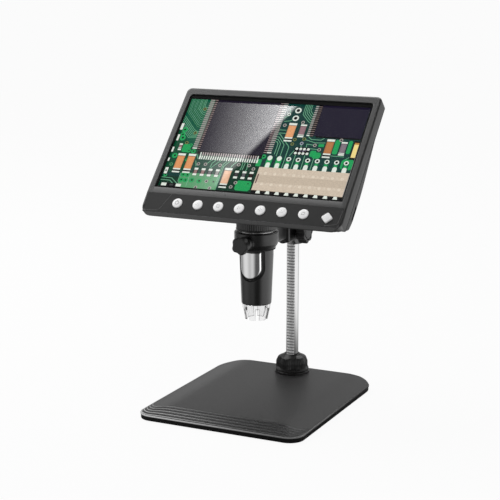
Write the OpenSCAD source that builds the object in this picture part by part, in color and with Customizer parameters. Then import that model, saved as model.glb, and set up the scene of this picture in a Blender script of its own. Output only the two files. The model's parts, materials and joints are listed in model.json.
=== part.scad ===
// Digital microscope with its own display: a tilted screen unit fixed on top of a
// vertical camera tube, held in a ring that slides on a toothed post over a base plate.
// +Z is up, the screen faces -Y, and the origin is on the table under the base's centre.

/* [Base] */
// Width of the base plate, side to side
base_w = 134.5; // [124:0.5:150]
// Depth of the base plate, front to back
base_d = 156; // [152:1:180]
// Height of the flat top above the table
base_h = 9; // [8.5:0.5:12]
// Height of the edge where the slopes meet the skirt
base_lip_z = 5; // [4.5:0.25:5.5]
// Plastic thickness of the base plate's top
base_wall = 2.2; // [1.8:0.1:2.6]
// Width of the rim that the bottom cover fits inside
base_rim_w = 6; // [5:0.5:8]
// Corner radius at the front
base_front_r = 12; // [6:1:20]
// Corner radius at the back
base_back_r = 18; // [8:1:24]
// Width of the soft slope along each side
side_slope_w = 25; // [15:1:27]
// Depth of the ridged slope along the front
front_slope_d = 19; // [14:1:24]
// Number of ridges across the front slope
ridge_count = 5; // [3:1:7]
// Depth of the groove between two ridges
ridge_depth = 0.45; // [0.2:0.05:0.6]
// How far the skirt draws in below the edge
skirt_draw = 0.5; // [0.3:0.1:1.5]
// Thickness of the bottom cover
bottom_t = 1.5; // [1.2:0.1:1.6]
// Height of a rubber foot below the bottom cover
foot_h = 0.8; // [0.6:0.1:2]
// Radius of a rubber foot
foot_r = 6; // [4:0.5:7]

/* [Post] */
// Radius of the toothed post
post_r = 5; // [4.5:0.25:6]
// Height of the post's top end above the table
post_top = 200; // [195:1:215]
// Distance between two teeth of the post
groove_pitch = 2.4; // [2.2:0.1:2.6]
// Depth of the gap between two teeth
groove_depth = 0.7; // [0.6:0.05:0.8]
// Radius of the flange under the lock nut
flange_r = 14; // [13:0.5:16]
// Thickness of the flange
flange_t = 2; // [1.5:0.1:3]
// Radius of the threaded collar inside the lock nut
collar_r = 8; // [7.5:0.25:9]
// Height of the lock nut
nut_h = 13.3; // [12:0.1:16]
// Number of lobes on the lock nut
nut_lobes = 6; // [6:1:12]

/* [Lift carriage] */
// Distance from the tube's axis to the post's axis
arm_reach = 68.4; // [66:0.2:76]
// How far the tube's axis stands in front of the base's centre
tube_front = 5.7; // [0:0.1:8]
// Height of the carriage
carriage_h = 23; // [20:1:28]
// Wall round the carriage's bore
carriage_wall = 2.9; // [2:0.1:4]
// Wall of the nylon bush on the post
bush_t = 1.55; // [1.2:0.05:2]
// Half width of the carriage's front block
block_half_w = 7.5; // [7:0.25:9]
// Number of teeth on the pinion
pinion_teeth = 12; // [11:1:13]
// Width of the pinion's teeth
pinion_w = 8; // [6:0.5:9]
// Radius of the pinion's shaft
shaft_r = 2; // [1.5:0.1:2.4]
// Radius of the height knob
knob_r = 9.5; // [8:0.25:11]
// Thickness of the height knob
knob_t = 8.5; // [6:0.5:11]

/* [Ring holder] */
// Height of the middle of the holder ring above the table
ring_z = 131.75; // [128:0.25:140]
// Height of the ring
ring_h = 13.5; // [12:0.5:15]
// Outer radius of the ring
ring_r = 17; // [16.5:0.25:19]
// Wall of the soft liner between ring and tube
liner_t = 1.45; // [1:0.05:1.8]
// Half width of the arm between ring and carriage
arm_half_w = 5.5; // [4.5:0.25:6.5]
// Height of the arm
arm_h = 12.5; // [11:0.5:13]
// Radius of the thumbscrew's shank
thumb_shank_r = 2; // [1.5:0.1:2.5]
// Radius of the thumbscrew's knob
thumb_knob_r = 7; // [6:0.25:7.5]
// Thickness of the thumbscrew's knob
thumb_knob_t = 7; // [5:0.5:9]
// How far the thumbscrew's knob stands out of the ring, to its front face
thumb_reach = 13; // [12.5:0.5:16]

/* [Camera tube] */
// Radius of the tube where the ring holds it
tube_r = 13; // [12:0.25:13.5]
// Radius of the tube at its lower end
tube_tip_r = 11.5; // [11.3:0.1:12]
// Length of the tube below the ring's top
tube_drop = 56; // [52:0.5:60]
// Length of the straight part of the tube below the ring's top
tube_straight = 18.5; // [16:0.5:22]
// Radius of the focus wheel
wheel_r = 15.8; // [15.5:0.1:16.2]
// Height of the focus wheel
wheel_h = 9.6; // [8.5:0.1:10]
// Number of grip flutes on the focus wheel
wheel_flutes = 30; // [20:1:40]
// Width of the bright insert on the tube's front
insert_w = 17.6; // [12:0.2:20]
// Height of the bright insert below the ring
insert_h = 21; // [16:0.5:26]
// Thickness of the bright insert
insert_t = 0.8; // [0.5:0.1:1]
// Length of the clear cap below the tube
cap_h = 12.5; // [10:0.5:16]
// Radius of the clear cap at its open end
cap_tip_r = 8.6; // [7.5:0.1:9.5]
// Wall of the clear cap
cap_wall = 1.2; // [0.9:0.1:1.6]
// Number of slots in the clear cap
cap_slots = 6; // [4:1:8]
// Width of a slot in the clear cap
cap_slot_w = 3; // [2:0.25:3.5]
// Number of lamps round the lens
led_count = 8; // [6:1:10]
// Focus travel of the lens each way
lens_travel = 2; // [1:0.25:2.5]

/* [Screen unit] */
// Half width of the screen unit
unit_half_w = 82.3; // [81.5:0.1:90]
// Height of the unit above the display's centre, along the screen
unit_up = 51.7; // [51:0.1:58]
// Depth of the unit below the display's centre, along the screen
unit_down = 67.8; // [67.5:0.1:71]
// Angle of the screen from level
screen_tilt = 46.9; // [45:0.1:48]
// Height of the display's centre above the ring's top
screen_rise = 63.2; // [62.5:0.1:66]
// How far the display's centre lies behind the tube's axis
screen_back = 10.7; // [10:0.1:12]
// Thickness of the whole unit
unit_t = 20; // [19:0.1:21]
// Depth of the front bezel's side wall
bezel_t = 10; // [9.8:0.1:10.3]
// Depth of the whole side wall over the unit's lower part
side_t = 17; // [16.6:0.1:17.4]
// Plastic thickness of the side and rear walls
unit_wall = 2; // [1.6:0.1:2.2]
// Plastic thickness of the bezel's front
bezel_front_t = 2.4; // [2.2:0.1:2.6]
// Width of the bezel at each side of the display's window
side_border = 4.1; // [3.9:0.1:6]
// Width of the bezel above the window
top_border = 5.7; // [5.5:0.1:8]
// Height of the chin below the window
chin_h = 23.2; // [23:0.1:26]
// Depth at which the glass lies below the bezel's face
glass_sink = 0.8; // [0.5:0.1:1]
// Thickness of the glass
glass_t = 1.2; // [1:0.1:1.3]
// Thickness of the display panel
panel_t = 4; // [3.2:0.1:4]
// Number of round buttons on the chin
button_count = 7; // [5:1:7]
// Distance between two round buttons
button_pitch = 17.25; // [15:0.25:17.5]
// Radius of a round button
button_r = 4; // [3.5:0.1:4.2]
// Half of the flat-to-flat size of the square-cornered button
square_half = 3.3; // [2.8:0.1:3.5]
// Travel of a button
button_travel = 0.5; // [0.3:0.05:0.6]
// How far a button stands proud of the bezel's plane
button_proud = 0.3; // [0.1:0.1:1]

/* [Fits] */
// Radial clearance of a part that turns or slides in another
run_gap = 0.05; // [0.03:0.01:0.08]
// Clearance between faces that are put together
seat_gap = 0.05; // [0.02:0.01:0.1]
// Clearance of a loosely placed part
loose_gap = 0.2; // [0.15:0.05:0.3]

/* [Hidden] */

$fn = 64;
over = 1; // cutters run this far past the faces that they cut
far = 300; // larger than the whole microscope

// colours
charcoal = [0.27, 0.27, 0.28];
black = [0.09, 0.09, 0.1];
soft_black = [0.15, 0.15, 0.16];
chrome = [0.85, 0.86, 0.88];
steel = [0.6, 0.61, 0.63];
nylon = [0.9, 0.9, 0.86];
board_green = [0.1, 0.42, 0.24];
white = [0.95, 0.95, 0.95];
glass_tint = [0.75, 0.85, 0.88, 0.35];

// base
cover_in = base_rim_w + loose_gap; // inset of the bottom cover from the base's outline
cover_top = foot_h + bottom_t;
shallow_z = base_lip_z - 1; // ceiling of the shallow hollow under the slopes
deep_z = base_h - base_wall; // ceiling of the hollow under the flat top
deep_half_w = base_w / 2 - side_slope_w - 2;
deep_front = -base_d / 2 + front_slope_d + 5;
foot_x = base_w / 2 - 16;
foot_y = base_d / 2 - 20;
base_screw_x = base_w / 2 - 13;
base_screw_y = base_d / 2 - 38;
base_screw_r = 1.1;
base_head_r = 2.5;
base_head_t = 1;
weight_gap = 2;
slope_steps = 8; // flats along a soft slope

// post
tube_y = -tube_front;
post_y = tube_y + arm_reach;
flange_top = base_h + flange_t;
flange_low = base_h - 0.5; // the flange stands in a shallow round recess of the base
flange_gap = 0.3;
collar_top = flange_top + 7.5;
post_foot = base_h + 0.6; // bottom of the post in its socket
stud_r = 5;
stud_low = cover_top + 1.1;
socket_nut_low = cover_top + 1.3;
socket_nut_r = 9.2;
collet_h = 3.6;
nut_low = flange_top + loose_gap;
nut_top = nut_low + nut_h;
nut_skirt_r = flange_r - 0.4;
nut_body_r = flange_r - 0.9;
nut_waist_r = flange_r - 3;
nut_mouth_r = post_r + 1.2;
post_cap_h = 3;

// carriage and pinion
ring_low = ring_z - ring_h / 2;
ring_top = ring_z + ring_h / 2;
carriage_low = ring_top + 1.5 - carriage_h;
pinion_z = carriage_low + carriage_h / 2;
bush_r = post_r + run_gap + bush_t;
pinion_pitch_r = pinion_teeth * groove_pitch / (2 * PI);
post_pitch_r = post_r - groove_depth / 2;
pinion_tip_r = pinion_pitch_r + 0.43 * groove_depth;
pinion_root_r = pinion_pitch_r - 1;
pinion_y = post_y - post_pitch_r - pinion_pitch_r;
chamber_r = pinion_tip_r + 0.4;
chamber_half_w = pinion_w / 2 + 0.4;
arm_z = ring_z - 1.25; // middle of the arm
tongue_half_w = arm_half_w - 1.5;
tongue_h = arm_h - 4;
tongue_l = 7.9;
block_front = pinion_y - chamber_r - 2.2 - tongue_l;
block_low = arm_z - arm_h / 2 - 2.5; // underside of the block at its front
arm_screw_r = 1.5;
arm_screw_y = block_front + tongue_l / 2;
drag_screw_z = pinion_z;
knob_x = block_half_w + 1.6; // inner face of the height knob
clip_t = 0.8;

// ring and thumbscrew
liner_r = tube_r + run_gap + liner_t;
ring_bore_r = liner_r + run_gap;
thumb_face_y = tube_y - ring_r - thumb_reach;
boss_r = 5;
ring_chamfer = 2; // the ring's lower edge draws in by this
ring_chamfer_h = 5;
boss_l = 4.3;
boss_face_y = tube_y - ring_r - boss_l;

// camera tube
clip_low = ring_top + 0.2;
wheel_clip_t = 0.6;
wheel_low = clip_low + wheel_clip_t + 0.1;
wheel_top = wheel_low + wheel_h;
neck_low = wheel_top + 0.3;
neck_r = tube_r + run_gap + 2.5;
tube_top = neck_low + 9;
tube_low = ring_top - tube_drop;
tube_cup_r = 10.1; // bore that holds the lamp board and the clear cap
tube_guide_r = 8.6; // bore that guides the lens holder
tube_room_r = 10.2; // bore above the camera's shelf
cup_h = 6;
shelf_low = ring_low - 7.5;
shelf_t = 2;
pin_z = wheel_low + wheel_h / 2; // middle height of the focus pins
pin_r = 1.2;
groove_half_h = pin_r + lens_travel + 0.25;
tube_screw_z = neck_low + 4.5;
tube_screw_angles = [20, 90, 160];
insert_top = ring_low - 1.2;
insert_half_w = insert_w / 2;
led_board_t = 1.2;
led_board_z = tube_low + cup_h - led_board_t - seat_gap;
led_h = 2;
led_r = 1.5;
led_ring_r = 7;
spigot_top = led_board_z - 0.4;
slot_arch_z = tube_low - cap_h * 0.4; // middle of a slot's round top
barrel_r = 4.2; // small end of the lens holder, through the lamp board
holder_low = tube_low + cup_h + 0.4 + lens_travel;
holder_h = 12;
push_arm_w = 3;
push_arm_t = 1.4;
sensor_half = 5.5;
sensor_t = 1.2;

// screen unit, in its own frame: x to the right, y up the screen, z out of the screen
display_y = tube_y + screen_back;
display_z = ring_top + screen_rise;
window_half_w = unit_half_w - side_border;
window_up = unit_up - top_border;
window_down = unit_down - chin_h;
inner_half_w = unit_half_w - unit_wall;
inner_up = unit_up - unit_wall;
inner_down = unit_down - unit_wall;
top_corner_r = 4;
bottom_corner_r = 8;
chin_y = -window_down - 4.4; // upper edge of the chin
crease_y = -unit_down + 1.8; // where the chin bends back to the lower edge
crease_z = -1.2;
chin_inner_z = crease_z - 2.2; // inner face of the chin's wall
front_chamfer = 1;
lower_edge_z = -3.7; // the underside slopes back and up from here
bend_y = -unit_down + 9.8; // where the underside turns into the back
bend_z = -15.3;
flat_low_y = -unit_down + 27.8; // lower end of the flat back
bevel_up = 7.7;
bevel_side = unit_t - bezel_t;
wedge_top_y = unit_up - 23.7; // the side wall deepens from here down
wedge_low_y = -unit_down + 43.8; // and has its full depth from here down
under_slope = (bend_y + unit_down) / (lower_edge_z - bend_z); // rise for each mm of depth
under_wall = unit_wall * sqrt(1 + under_slope ^ 2); // the underside's wall, measured along y
seam_y = -unit_down + (lower_edge_z + bezel_t) * under_slope; // underside at the bezel's rear edge
glass_lip = 1.2;
glass_back = -(glass_sink + glass_t);
panel_front = min(glass_back, -bezel_front_t) - seat_gap;
panel_back = panel_front - panel_t;
panel_half_w = inner_half_w - 0.4;
panel_up = inner_up - 1.7;
panel_down = window_down + 3.8;
key_panel_t = 1.2;
key_panel_half_w = unit_half_w - 2.1;
button_y = crease_y + 9.3;
button_x0 = -button_pitch * (button_count - 1) / 2 - 1.25;
square_x = unit_half_w - 12.9;
button_flange_t = 0.8;
button_flange_top = chin_inner_z - 0.2;
button_stem_low = -6;
switch_top = button_stem_low - button_travel - 0.05;
key_board_top = -8.2;
key_board_t = 1;
key_board_low = key_board_top - key_board_t;
key_board_up = chin_y - 1.6;
key_board_down = seam_y + 2.3;
key_board_left = button_x0 - 6;
key_board_right = square_x + 6;
key_boss_x = [for (i = [0.5, 2.5, 5.5]) button_x0 + button_pitch * i];
housing_screw_x = [button_x0 - 17, button_x0 + button_pitch * 1.5, button_x0 + button_pitch * 4.5,
                   (button_x0 + button_pitch * (button_count - 1) + square_x) / 2];
housing_screw_y = seam_y + 4.1;
housing_seat_z = -bezel_t - 1; // the housing screws' heads bear here
housing_head_t = 1.3;
housing_boss_r = 2.4;
boss_hole_r = 0.9;
screw_head_r = 1.9;
board_top = panel_back - 2.45;
board_t = 1.2;
board_low = board_top - board_t;
board_left = -inner_half_w + 1.3;
board_right = 12;
board_up = 30;
board_down = -30;
board_boss = [[board_left + 7, board_down + 6], [board_left + 7, board_up - 6],
              [board_right - 6, board_up - 6], [board_right - 34, board_down + 6]];
board_screw_r = 0.9;
port_y = -12;
port_half_w = 4.5;
port_h = 2.8;
port_in = 1.7; // the port's mouth lies this far behind the inner side wall
card_y = -unit_down + 23.8; // middle of the card slot on the right side wall
card_top = bend_z + 1.55;
card_half_w = 5.8;
card_h = 1.45;
battery_left = board_right + 6;
battery_right = inner_half_w - bevel_side - 1.1;
battery_up = 32;
battery_down = -28;
battery_t = 6.2;
hook_x = inner_half_w - 25.3;
hook_half_w = 4;
vent_rows = 6;
vent_pitch = 4;
vent_y = 12; // lowest row of air slots
vent_x = [-40, -12, 16]; // left end of each column
vent_w = 24;
vent_h = 1.6;
switch_half = 2.2;
housing_screw_l = 7.6;
board_screw_l = 6;
key_screw_l = 4.6;

// ---------- helpers ----------

// Rectangle with one radius at its two upper corners and another at its two lower ones
module plan(x0, x1, y0, y1, r_up, r_down) {
    polygon([[x0 + r_down, y0], [x1 - r_down, y0], [x1, y0 + r_down], [x1, y1 - r_up],
             [x1 - r_up, y1], [x0 + r_up, y1], [x0, y1 - r_up], [x0, y0 + r_down]]);
    for (x = [x0 + r_down, x1 - r_down]) translate([x, y0 + r_down]) circle(r_down);
    for (x = [x0 + r_up, x1 - r_up]) translate([x, y1 - r_up]) circle(r_up);
}

module slab(x0, x1, y0, y1, z0, z1) {
    translate([x0, y0, z0]) cube([x1 - x0, y1 - y0, z1 - z0]);
}

module rod(r, z0, z1) {
    translate([0, 0, z0]) cylinder(r = r, h = z1 - z0);
}

// A rod along +X from x0 to x1
module rod_x(r, x0, x1) {
    translate([x0, 0, 0]) rotate([0, 90, 0]) cylinder(r = r, h = x1 - x0);
}

// A rod along +Y from y0 to y1
module rod_y(r, y0, y1) {
    translate([0, y0, 0]) rotate([-90, 0, 0]) cylinder(r = r, h = y1 - y0);
}

// A profile of [across, up] points carried along X from x0 to x1; across is Y
module along_x(points, x0, x1) {
    translate([x0, 0, 0]) rotate([90, 0, 90]) linear_extrude(height = x1 - x0) polygon(points);
}

// A profile of [across, up] points carried along Y from y0 to y1; across is X
module along_y(points, y0, y1) {
    translate([0, y1, 0]) rotate([90, 0, 0]) linear_extrude(height = y1 - y0) polygon(points);
}

// A profile of [radius, height] points turned round Z
module turned(points) {
    rotate_extrude() polygon(points);
}

// A grip with round hollows between its lobes, from z0 to z1
module lobed(r, z0, z1, lobes) {
    hollow_r = r * 0.42 * 8 / lobes;
    difference() {
        rod(r, z0, z1);
        for (i = [0 : lobes - 1])
            rotate([0, 0, (i + 0.5) * 360 / lobes])
                translate([r + hollow_r * 0.72, 0, 0]) rod(hollow_r, z0 - over, z1 + over);
    }
}

// A machine screw with a flat head: the head's top is at z = 0 and the shank points down
module screw(head_r, head_t, shank_r, length) {
    rod(head_r, -head_t, 0);
    rod(shank_r, -length, -head_t + 0.01);
}

module at_tube() { translate([0, tube_y, 0]) children(); }
module at_post() { translate([0, post_y, 0]) children(); }
module at_screen() { translate([0, display_y, display_z]) rotate([screen_tilt, 0, 0]) children(); }

// ---------- base ----------

// Height of a soft slope, from 0 at its outer edge to 1 at its top
function soft(t) = sin(90 * t) * 0.6 + (1 - cos(180 * t)) * 0.2;

// The front slope with its ridges, from the front edge back to the flat top
function ridge_points() = [
    for (i = [0 : ridge_count - 1])
        let (step = front_slope_d / (ridge_count + 1), y = -base_d / 2 + step * (i + 0.6),
             z = base_lip_z + (base_h - base_lip_z) * soft((i + 0.8) / (ridge_count + 1)))
        each [[y, z], [y + step * 0.55, z + 0.1], [y + step * 0.7, z + 0.1 - ridge_depth],
              [y + step * 0.9, z + 0.1 - ridge_depth]]
];

module base_outline(inset, z0, z1) {
    translate([0, 0, z0]) linear_extrude(height = z1 - z0)
        plan(-base_w / 2 + inset, base_w / 2 - inset, -base_d / 2 + inset, base_d / 2 - inset,
             base_back_r - inset / 2, base_front_r - inset / 2);
}

module base_form() {
    side = [for (i = [0 : slope_steps])
        [side_slope_w * i / slope_steps,
         base_lip_z + (base_h - base_lip_z) * soft(i / slope_steps)]];
    half = base_w / 2;
    across = concat([[-half + skirt_draw, foot_h], [-half, base_lip_z - 1]],
                    [for (p = side) [-half + p[0], p[1]]],
                    [for (i = [slope_steps : -1 : 0]) [half - side[i][0], side[i][1]]],
                    [[half, base_lip_z - 1], [half - skirt_draw, foot_h]]);
    depth = concat([[-base_d / 2 + skirt_draw, foot_h], [-base_d / 2, base_lip_z - 1],
                    [-base_d / 2, base_lip_z]],
                   ridge_points(),
                   [[-base_d / 2 + front_slope_d + 1.5, base_h], [base_d / 2 - 4, base_h],
                    [base_d / 2 - 1.2, base_h - 1], [base_d / 2, base_lip_z + 1],
                    [base_d / 2, base_lip_z - 1], [base_d / 2 - skirt_draw, foot_h]]);
    intersection() {
        base_outline(0, foot_h, base_h);
        along_y(across, -base_d, base_d);
        along_x(depth, -base_w, base_w);
    }
}

module base_plate() {
    color(charcoal) difference() {
        base_form();
        difference() {
            base_outline(base_rim_w, foot_h - over, shallow_z);
            for (x = [-base_screw_x, base_screw_x], y = [-base_screw_y, base_screw_y])
                translate([x, y, 0]) rod(3, cover_top + seat_gap, shallow_z + over);
        }
        slab(-deep_half_w, deep_half_w, deep_front, post_y - socket_nut_r - 4,
             shallow_z - over, deep_z);
        at_post() rod(socket_nut_r + 1.4, shallow_z - over, deep_z);
        at_post() rod(stud_r + seat_gap, deep_z - over, base_h + over);
        at_post() rod(flange_r + flange_gap, flange_low, base_h + over);
        for (x = [-base_screw_x, base_screw_x], y = [-base_screw_y, base_screw_y])
            translate([x, y, 0]) rod(base_screw_r + 0.02, cover_top - over, base_lip_z + 0.9);
    }
}

module base_weight() {
    color(steel) slab(-deep_half_w + weight_gap, deep_half_w - weight_gap,
                      deep_front + weight_gap, post_y - socket_nut_r - 4 - weight_gap,
                      cover_top + seat_gap, deep_z - seat_gap);
}

module base_bottom() {
    color(black) difference() {
        base_outline(cover_in, foot_h, cover_top);
        for (x = [-base_screw_x, base_screw_x], y = [-base_screw_y, base_screw_y])
            translate([x, y, 0]) {
                rod(base_screw_r + 0.1, foot_h - over, cover_top + over);
                rod(base_head_r + 0.1, foot_h - over, foot_h + base_head_t);
            }
    }
}

module base_feet() {
    color(soft_black)
        for (x = [-foot_x, foot_x], y = [-foot_y, foot_y])
            translate([x, y, 0]) {
                rod(foot_r - 0.3, 0, foot_h / 2);
                rod(foot_r, foot_h / 2 - 0.01, foot_h);
            }
}

module base_screws() {
    color(steel)
        for (x = [-base_screw_x, base_screw_x], y = [-base_screw_y, base_screw_y])
            translate([x, y, foot_h + 0.05]) mirror([0, 0, 1])
                screw(base_head_r, base_head_t - 0.05, base_screw_r, base_lip_z - foot_h + 0.7);
}

// ---------- post and its lock ----------

module post_socket() {
    color(black) at_post() difference() {
        union() {
            turned([[0, flange_low], [flange_r, flange_low], [flange_r, flange_top - 0.5],
                    [flange_r - 0.5, flange_top], [0, flange_top]]);
            rod(collar_r, flange_top - 0.1, collar_top);
            rod(stud_r, stud_low, base_h + 0.1);
        }
        rod(post_r + run_gap, post_foot - seat_gap, collar_top + over);
    }
}

module socket_nut() {
    color(steel) at_post() difference() {
        translate([0, 0, socket_nut_low]) cylinder(r = socket_nut_r, h = deep_z - socket_nut_low, $fn = 6);
        rod(stud_r + 0.02, 0, base_h);
    }
}

module lock_collet() {
    color(nylon) at_post() difference() {
        turned([[post_r + run_gap, collar_top + 0.1], [collar_r - 0.3, collar_top + 0.1],
                [collar_r - 0.3, collar_top + 1], [post_r + 1, collar_top + collet_h],
                [post_r + run_gap, collar_top + collet_h]]);
        for (a = [30, 150, 270])
            rotate([0, 0, a]) slab(0, far, -0.4, 0.4, collar_top + 1, collar_top + collet_h + over);
    }
}

module post_lock_nut() {
    color(black) at_post() difference() {
        union() {
            turned([[0, nut_low], [nut_skirt_r, nut_low], [nut_skirt_r, nut_low + 1.3],
                    [0, nut_low + 1.3]]);
            lobed(nut_body_r, nut_low + 1.2, nut_low + 6.4, nut_lobes);
            intersection() {
                lobed(nut_body_r, nut_low + 6.3, nut_low + 9.2, nut_lobes);
                turned([[0, nut_low + 6], [nut_body_r, nut_low + 6.3],
                        [nut_waist_r, nut_low + 9.2], [0, nut_low + 9.2]]);
            }
            turned([[0, nut_low + 9], [nut_waist_r - 0.6, nut_low + 9],
                    [nut_mouth_r + 0.8, nut_top - 0.6], [nut_mouth_r, nut_top], [0, nut_top]]);
        }
        turned([[0, nut_low - over], [collar_r + run_gap, nut_low - over],
                [collar_r + run_gap, collar_top + 1.1], [post_r + 1.15, collar_top + collet_h + 0.3],
                [post_r + 0.3, collar_top + collet_h + 0.3], [post_r + 0.3, nut_top + over],
                [0, nut_top + over]]);
    }
}

// The teeth are cut into the front of the post and line up with the pinion's teeth
groove_low = pinion_z - groove_pitch * floor((pinion_z - nut_top - 1.5) / groove_pitch);
groove_slant = 0.4; // a groove widens by this much each side for each mm outward
groove_turns = floor((post_top - post_cap_h - 3 - groove_low) / groove_pitch);

module post() {
    root = -post_r + groove_depth;
    mouth = -post_r - over;
    root_w = groove_pitch * 0.15;
    mouth_w = root_w + (root - mouth) * groove_slant;
    comb = [for (i = [0 : groove_turns]) let (z = groove_low + i * groove_pitch)
        each [[mouth, z - mouth_w], [root, z - root_w], [root, z + root_w], [mouth, z + mouth_w]]];
    color(chrome) at_post() difference() {
        rod(post_r, post_foot, post_top - post_cap_h);
        along_x(concat([[mouth - over, groove_low - groove_pitch]], comb,
                       [[mouth - over, groove_low + (groove_turns + 1) * groove_pitch]]),
                -post_r, post_r);
    }
}

module post_cap() {
    color(black) at_post() turned([[0, post_top - post_cap_h], [post_r, post_top - post_cap_h],
                                   [post_r, post_top - 1], [post_r - 1, post_top], [0, post_top]]);
}

// ---------- lift carriage ----------

module lift_carriage() {
    rise = block_low - carriage_low;
    color(black) difference() {
        union() {
            at_post() turned([[0, carriage_low], [bush_r + carriage_wall - 0.8, carriage_low],
                              [bush_r + carriage_wall, carriage_low + 0.8],
                              [bush_r + carriage_wall, carriage_low + carriage_h - 0.8],
                              [bush_r + carriage_wall - 0.8, carriage_low + carriage_h],
                              [0, carriage_low + carriage_h]]);
            along_x([[block_front, block_low], [block_front + tongue_l + 2, block_low],
                     [block_front + tongue_l + 2 + rise, carriage_low], [post_y, carriage_low],
                     [post_y, carriage_low + carriage_h],
                     [block_front + 4, carriage_low + carriage_h], [block_front, ring_top]],
                    -block_half_w, block_half_w);
        }
        at_post() rod(bush_r + seat_gap, carriage_low - over, carriage_low + carriage_h + over);
        // chamber and shaft bore of the pinion
        translate([0, pinion_y, pinion_z]) {
            rod_x(chamber_r, -chamber_half_w, chamber_half_w);
            rod_x(shaft_r + run_gap, -far, far);
        }
        slab(-chamber_half_w, chamber_half_w, pinion_y, post_y, pinion_z - chamber_r,
             pinion_z + chamber_r);
        // mortise for the arm's tongue, and its screws
        slab(-tongue_half_w - seat_gap, tongue_half_w + seat_gap, block_front - over,
             block_front + tongue_l + seat_gap, arm_z - tongue_h / 2 - seat_gap,
             arm_z + tongue_h / 2 + seat_gap);
        for (x = [-tongue_half_w / 2, tongue_half_w / 2])
            translate([x, arm_screw_y, 0])
                rod(arm_screw_r + seat_gap, block_low - over, arm_z - tongue_h / 2 + 1);
        // thread of the drag screw, in from the back
        translate([0, post_y, drag_screw_z]) rod_y(1.5, bush_r, far);
    }
}

module carriage_bush() {
    color(nylon) difference() {
        at_post() rod(bush_r, carriage_low, carriage_low + carriage_h);
        at_post() rod(post_r + run_gap, carriage_low - over, carriage_low + carriage_h + over);
        slab(-chamber_half_w, chamber_half_w, pinion_y, post_y - post_r / 2,
             pinion_z - chamber_r, pinion_z + chamber_r);
    }
}

module arm_screws() {
    color(steel)
        for (x = [-tongue_half_w / 2, tongue_half_w / 2])
            translate([x, arm_screw_y, 0])
                rod(arm_screw_r, block_low + 0.3, arm_z - tongue_h / 2 + 3.4);
}

// Sets how hard the bush holds the post
module drag_screw() {
    color(steel) translate([0, post_y, drag_screw_z]) difference() {
        rod_y(1.48, bush_r + 0.1, bush_r + carriage_wall + 0.6);
        translate([0, 0, -0.3]) slab(-2, 2, bush_r + carriage_wall, far, 0, 0.6);
    }
}

module pinion() {
    tooth = 360 / pinion_teeth;
    points = [for (i = [0 : pinion_teeth - 1]) let (a = 90 + i * tooth)
        each [[pinion_root_r * cos(a - 8.5), pinion_root_r * sin(a - 8.5)],
              [pinion_tip_r * cos(a - 3), pinion_tip_r * sin(a - 3)],
              [pinion_tip_r * cos(a + 3), pinion_tip_r * sin(a + 3)],
              [pinion_root_r * cos(a + 8.5), pinion_root_r * sin(a + 8.5)]]];
    color(steel) translate([0, pinion_y, pinion_z]) {
        // the profile's y direction becomes world Y, so one tooth points at the post
        translate([-pinion_w / 2, 0, 0]) rotate([0, 90, 0]) linear_extrude(height = pinion_w)
            polygon(points);
        rod_x(shaft_r, -block_half_w - 2, knob_x + knob_t - 2);
    }
}

module pinion_clip() {
    color(steel) translate([0, pinion_y, pinion_z]) difference() {
        rod_x(shaft_r + 1.8, -block_half_w - 0.2 - clip_t, -block_half_w - 0.2);
        rod_x(shaft_r + 0.02, -far, 0);
    }
}

module height_knob() {
    color(soft_black) translate([0, pinion_y, pinion_z]) rotate([0, 90, 0]) difference() {
        union() {
            lobed(knob_r, knob_x + 1.2, knob_x + knob_t, 8);
            rod(knob_r - 3, knob_x, knob_x + 1.3);
        }
        rod(shaft_r + 0.02, knob_x - over, knob_x + knob_t - 1.98);
        turned([[knob_r - 3.4, knob_x + knob_t - 0.8], [knob_r - 2.6, knob_x + knob_t - 0.8],
                [knob_r - 2.6, knob_x + knob_t + over], [knob_r - 3.4, knob_x + knob_t + over]]);
    }
}

// ---------- ring holder ----------

module holder_ring() {
    color(black) difference() {
        union() {
            at_tube() turned([[0, ring_low], [ring_r - ring_chamfer, ring_low],
                              [ring_r, ring_low + ring_chamfer_h], [ring_r, ring_top - 0.6],
                              [ring_r - 0.6, ring_top], [0, ring_top]]);
            slab(-arm_half_w, arm_half_w, tube_y + ring_r - 1.5, block_front,
                 arm_z - arm_h / 2, arm_z + arm_h / 2);
            slab(-tongue_half_w, tongue_half_w, block_front - 0.1, block_front + tongue_l,
                 arm_z - tongue_h / 2, arm_z + tongue_h / 2);
            translate([0, 0, ring_z]) rod_y(boss_r, boss_face_y, tube_y - ring_bore_r);
        }
        at_tube() rod(ring_bore_r, ring_low - over, ring_top + over);
        translate([0, 0, ring_z]) rod_y(thumb_shank_r + run_gap, boss_face_y - over, tube_y);
        for (x = [-tongue_half_w / 2, tongue_half_w / 2])
            translate([x, arm_screw_y, 0])
                rod(arm_screw_r + 0.02, block_low - over, arm_z - tongue_h / 2 + 3.5);
    }
}

module holder_liner() {
    color(soft_black) at_tube() difference() {
        rod(liner_r, ring_low, ring_top - 0.2);
        rod(tube_r + run_gap, ring_low - over, ring_top + over);
    }
}

module thumb_screw() {
    color(steel) translate([0, 0, ring_z])
        rod_y(thumb_shank_r, thumb_face_y + 2, tube_y - liner_r - 0.15);
}

module thumb_knob() {
    color(soft_black) translate([0, 0, ring_z]) difference() {
        translate([0, thumb_face_y + thumb_knob_t, 0]) rotate([90, 0, 0]) union() {
            lobed(thumb_knob_r, 1, thumb_knob_t, 6);
            rod(thumb_knob_r - 2.5, 0, 1.1);
        }
        rod_y(thumb_shank_r + 0.02, thumb_face_y + 1.98, tube_y);
    }
}

// ---------- camera tube ----------

tube_taper = (tube_r - tube_tip_r) / (tube_drop - tube_straight);

// Outer radius of the tube at a height, less an inset
function tube_at(z, inset) =
    tube_r - inset - max(0, ring_top - tube_straight - z) * tube_taper;

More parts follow.
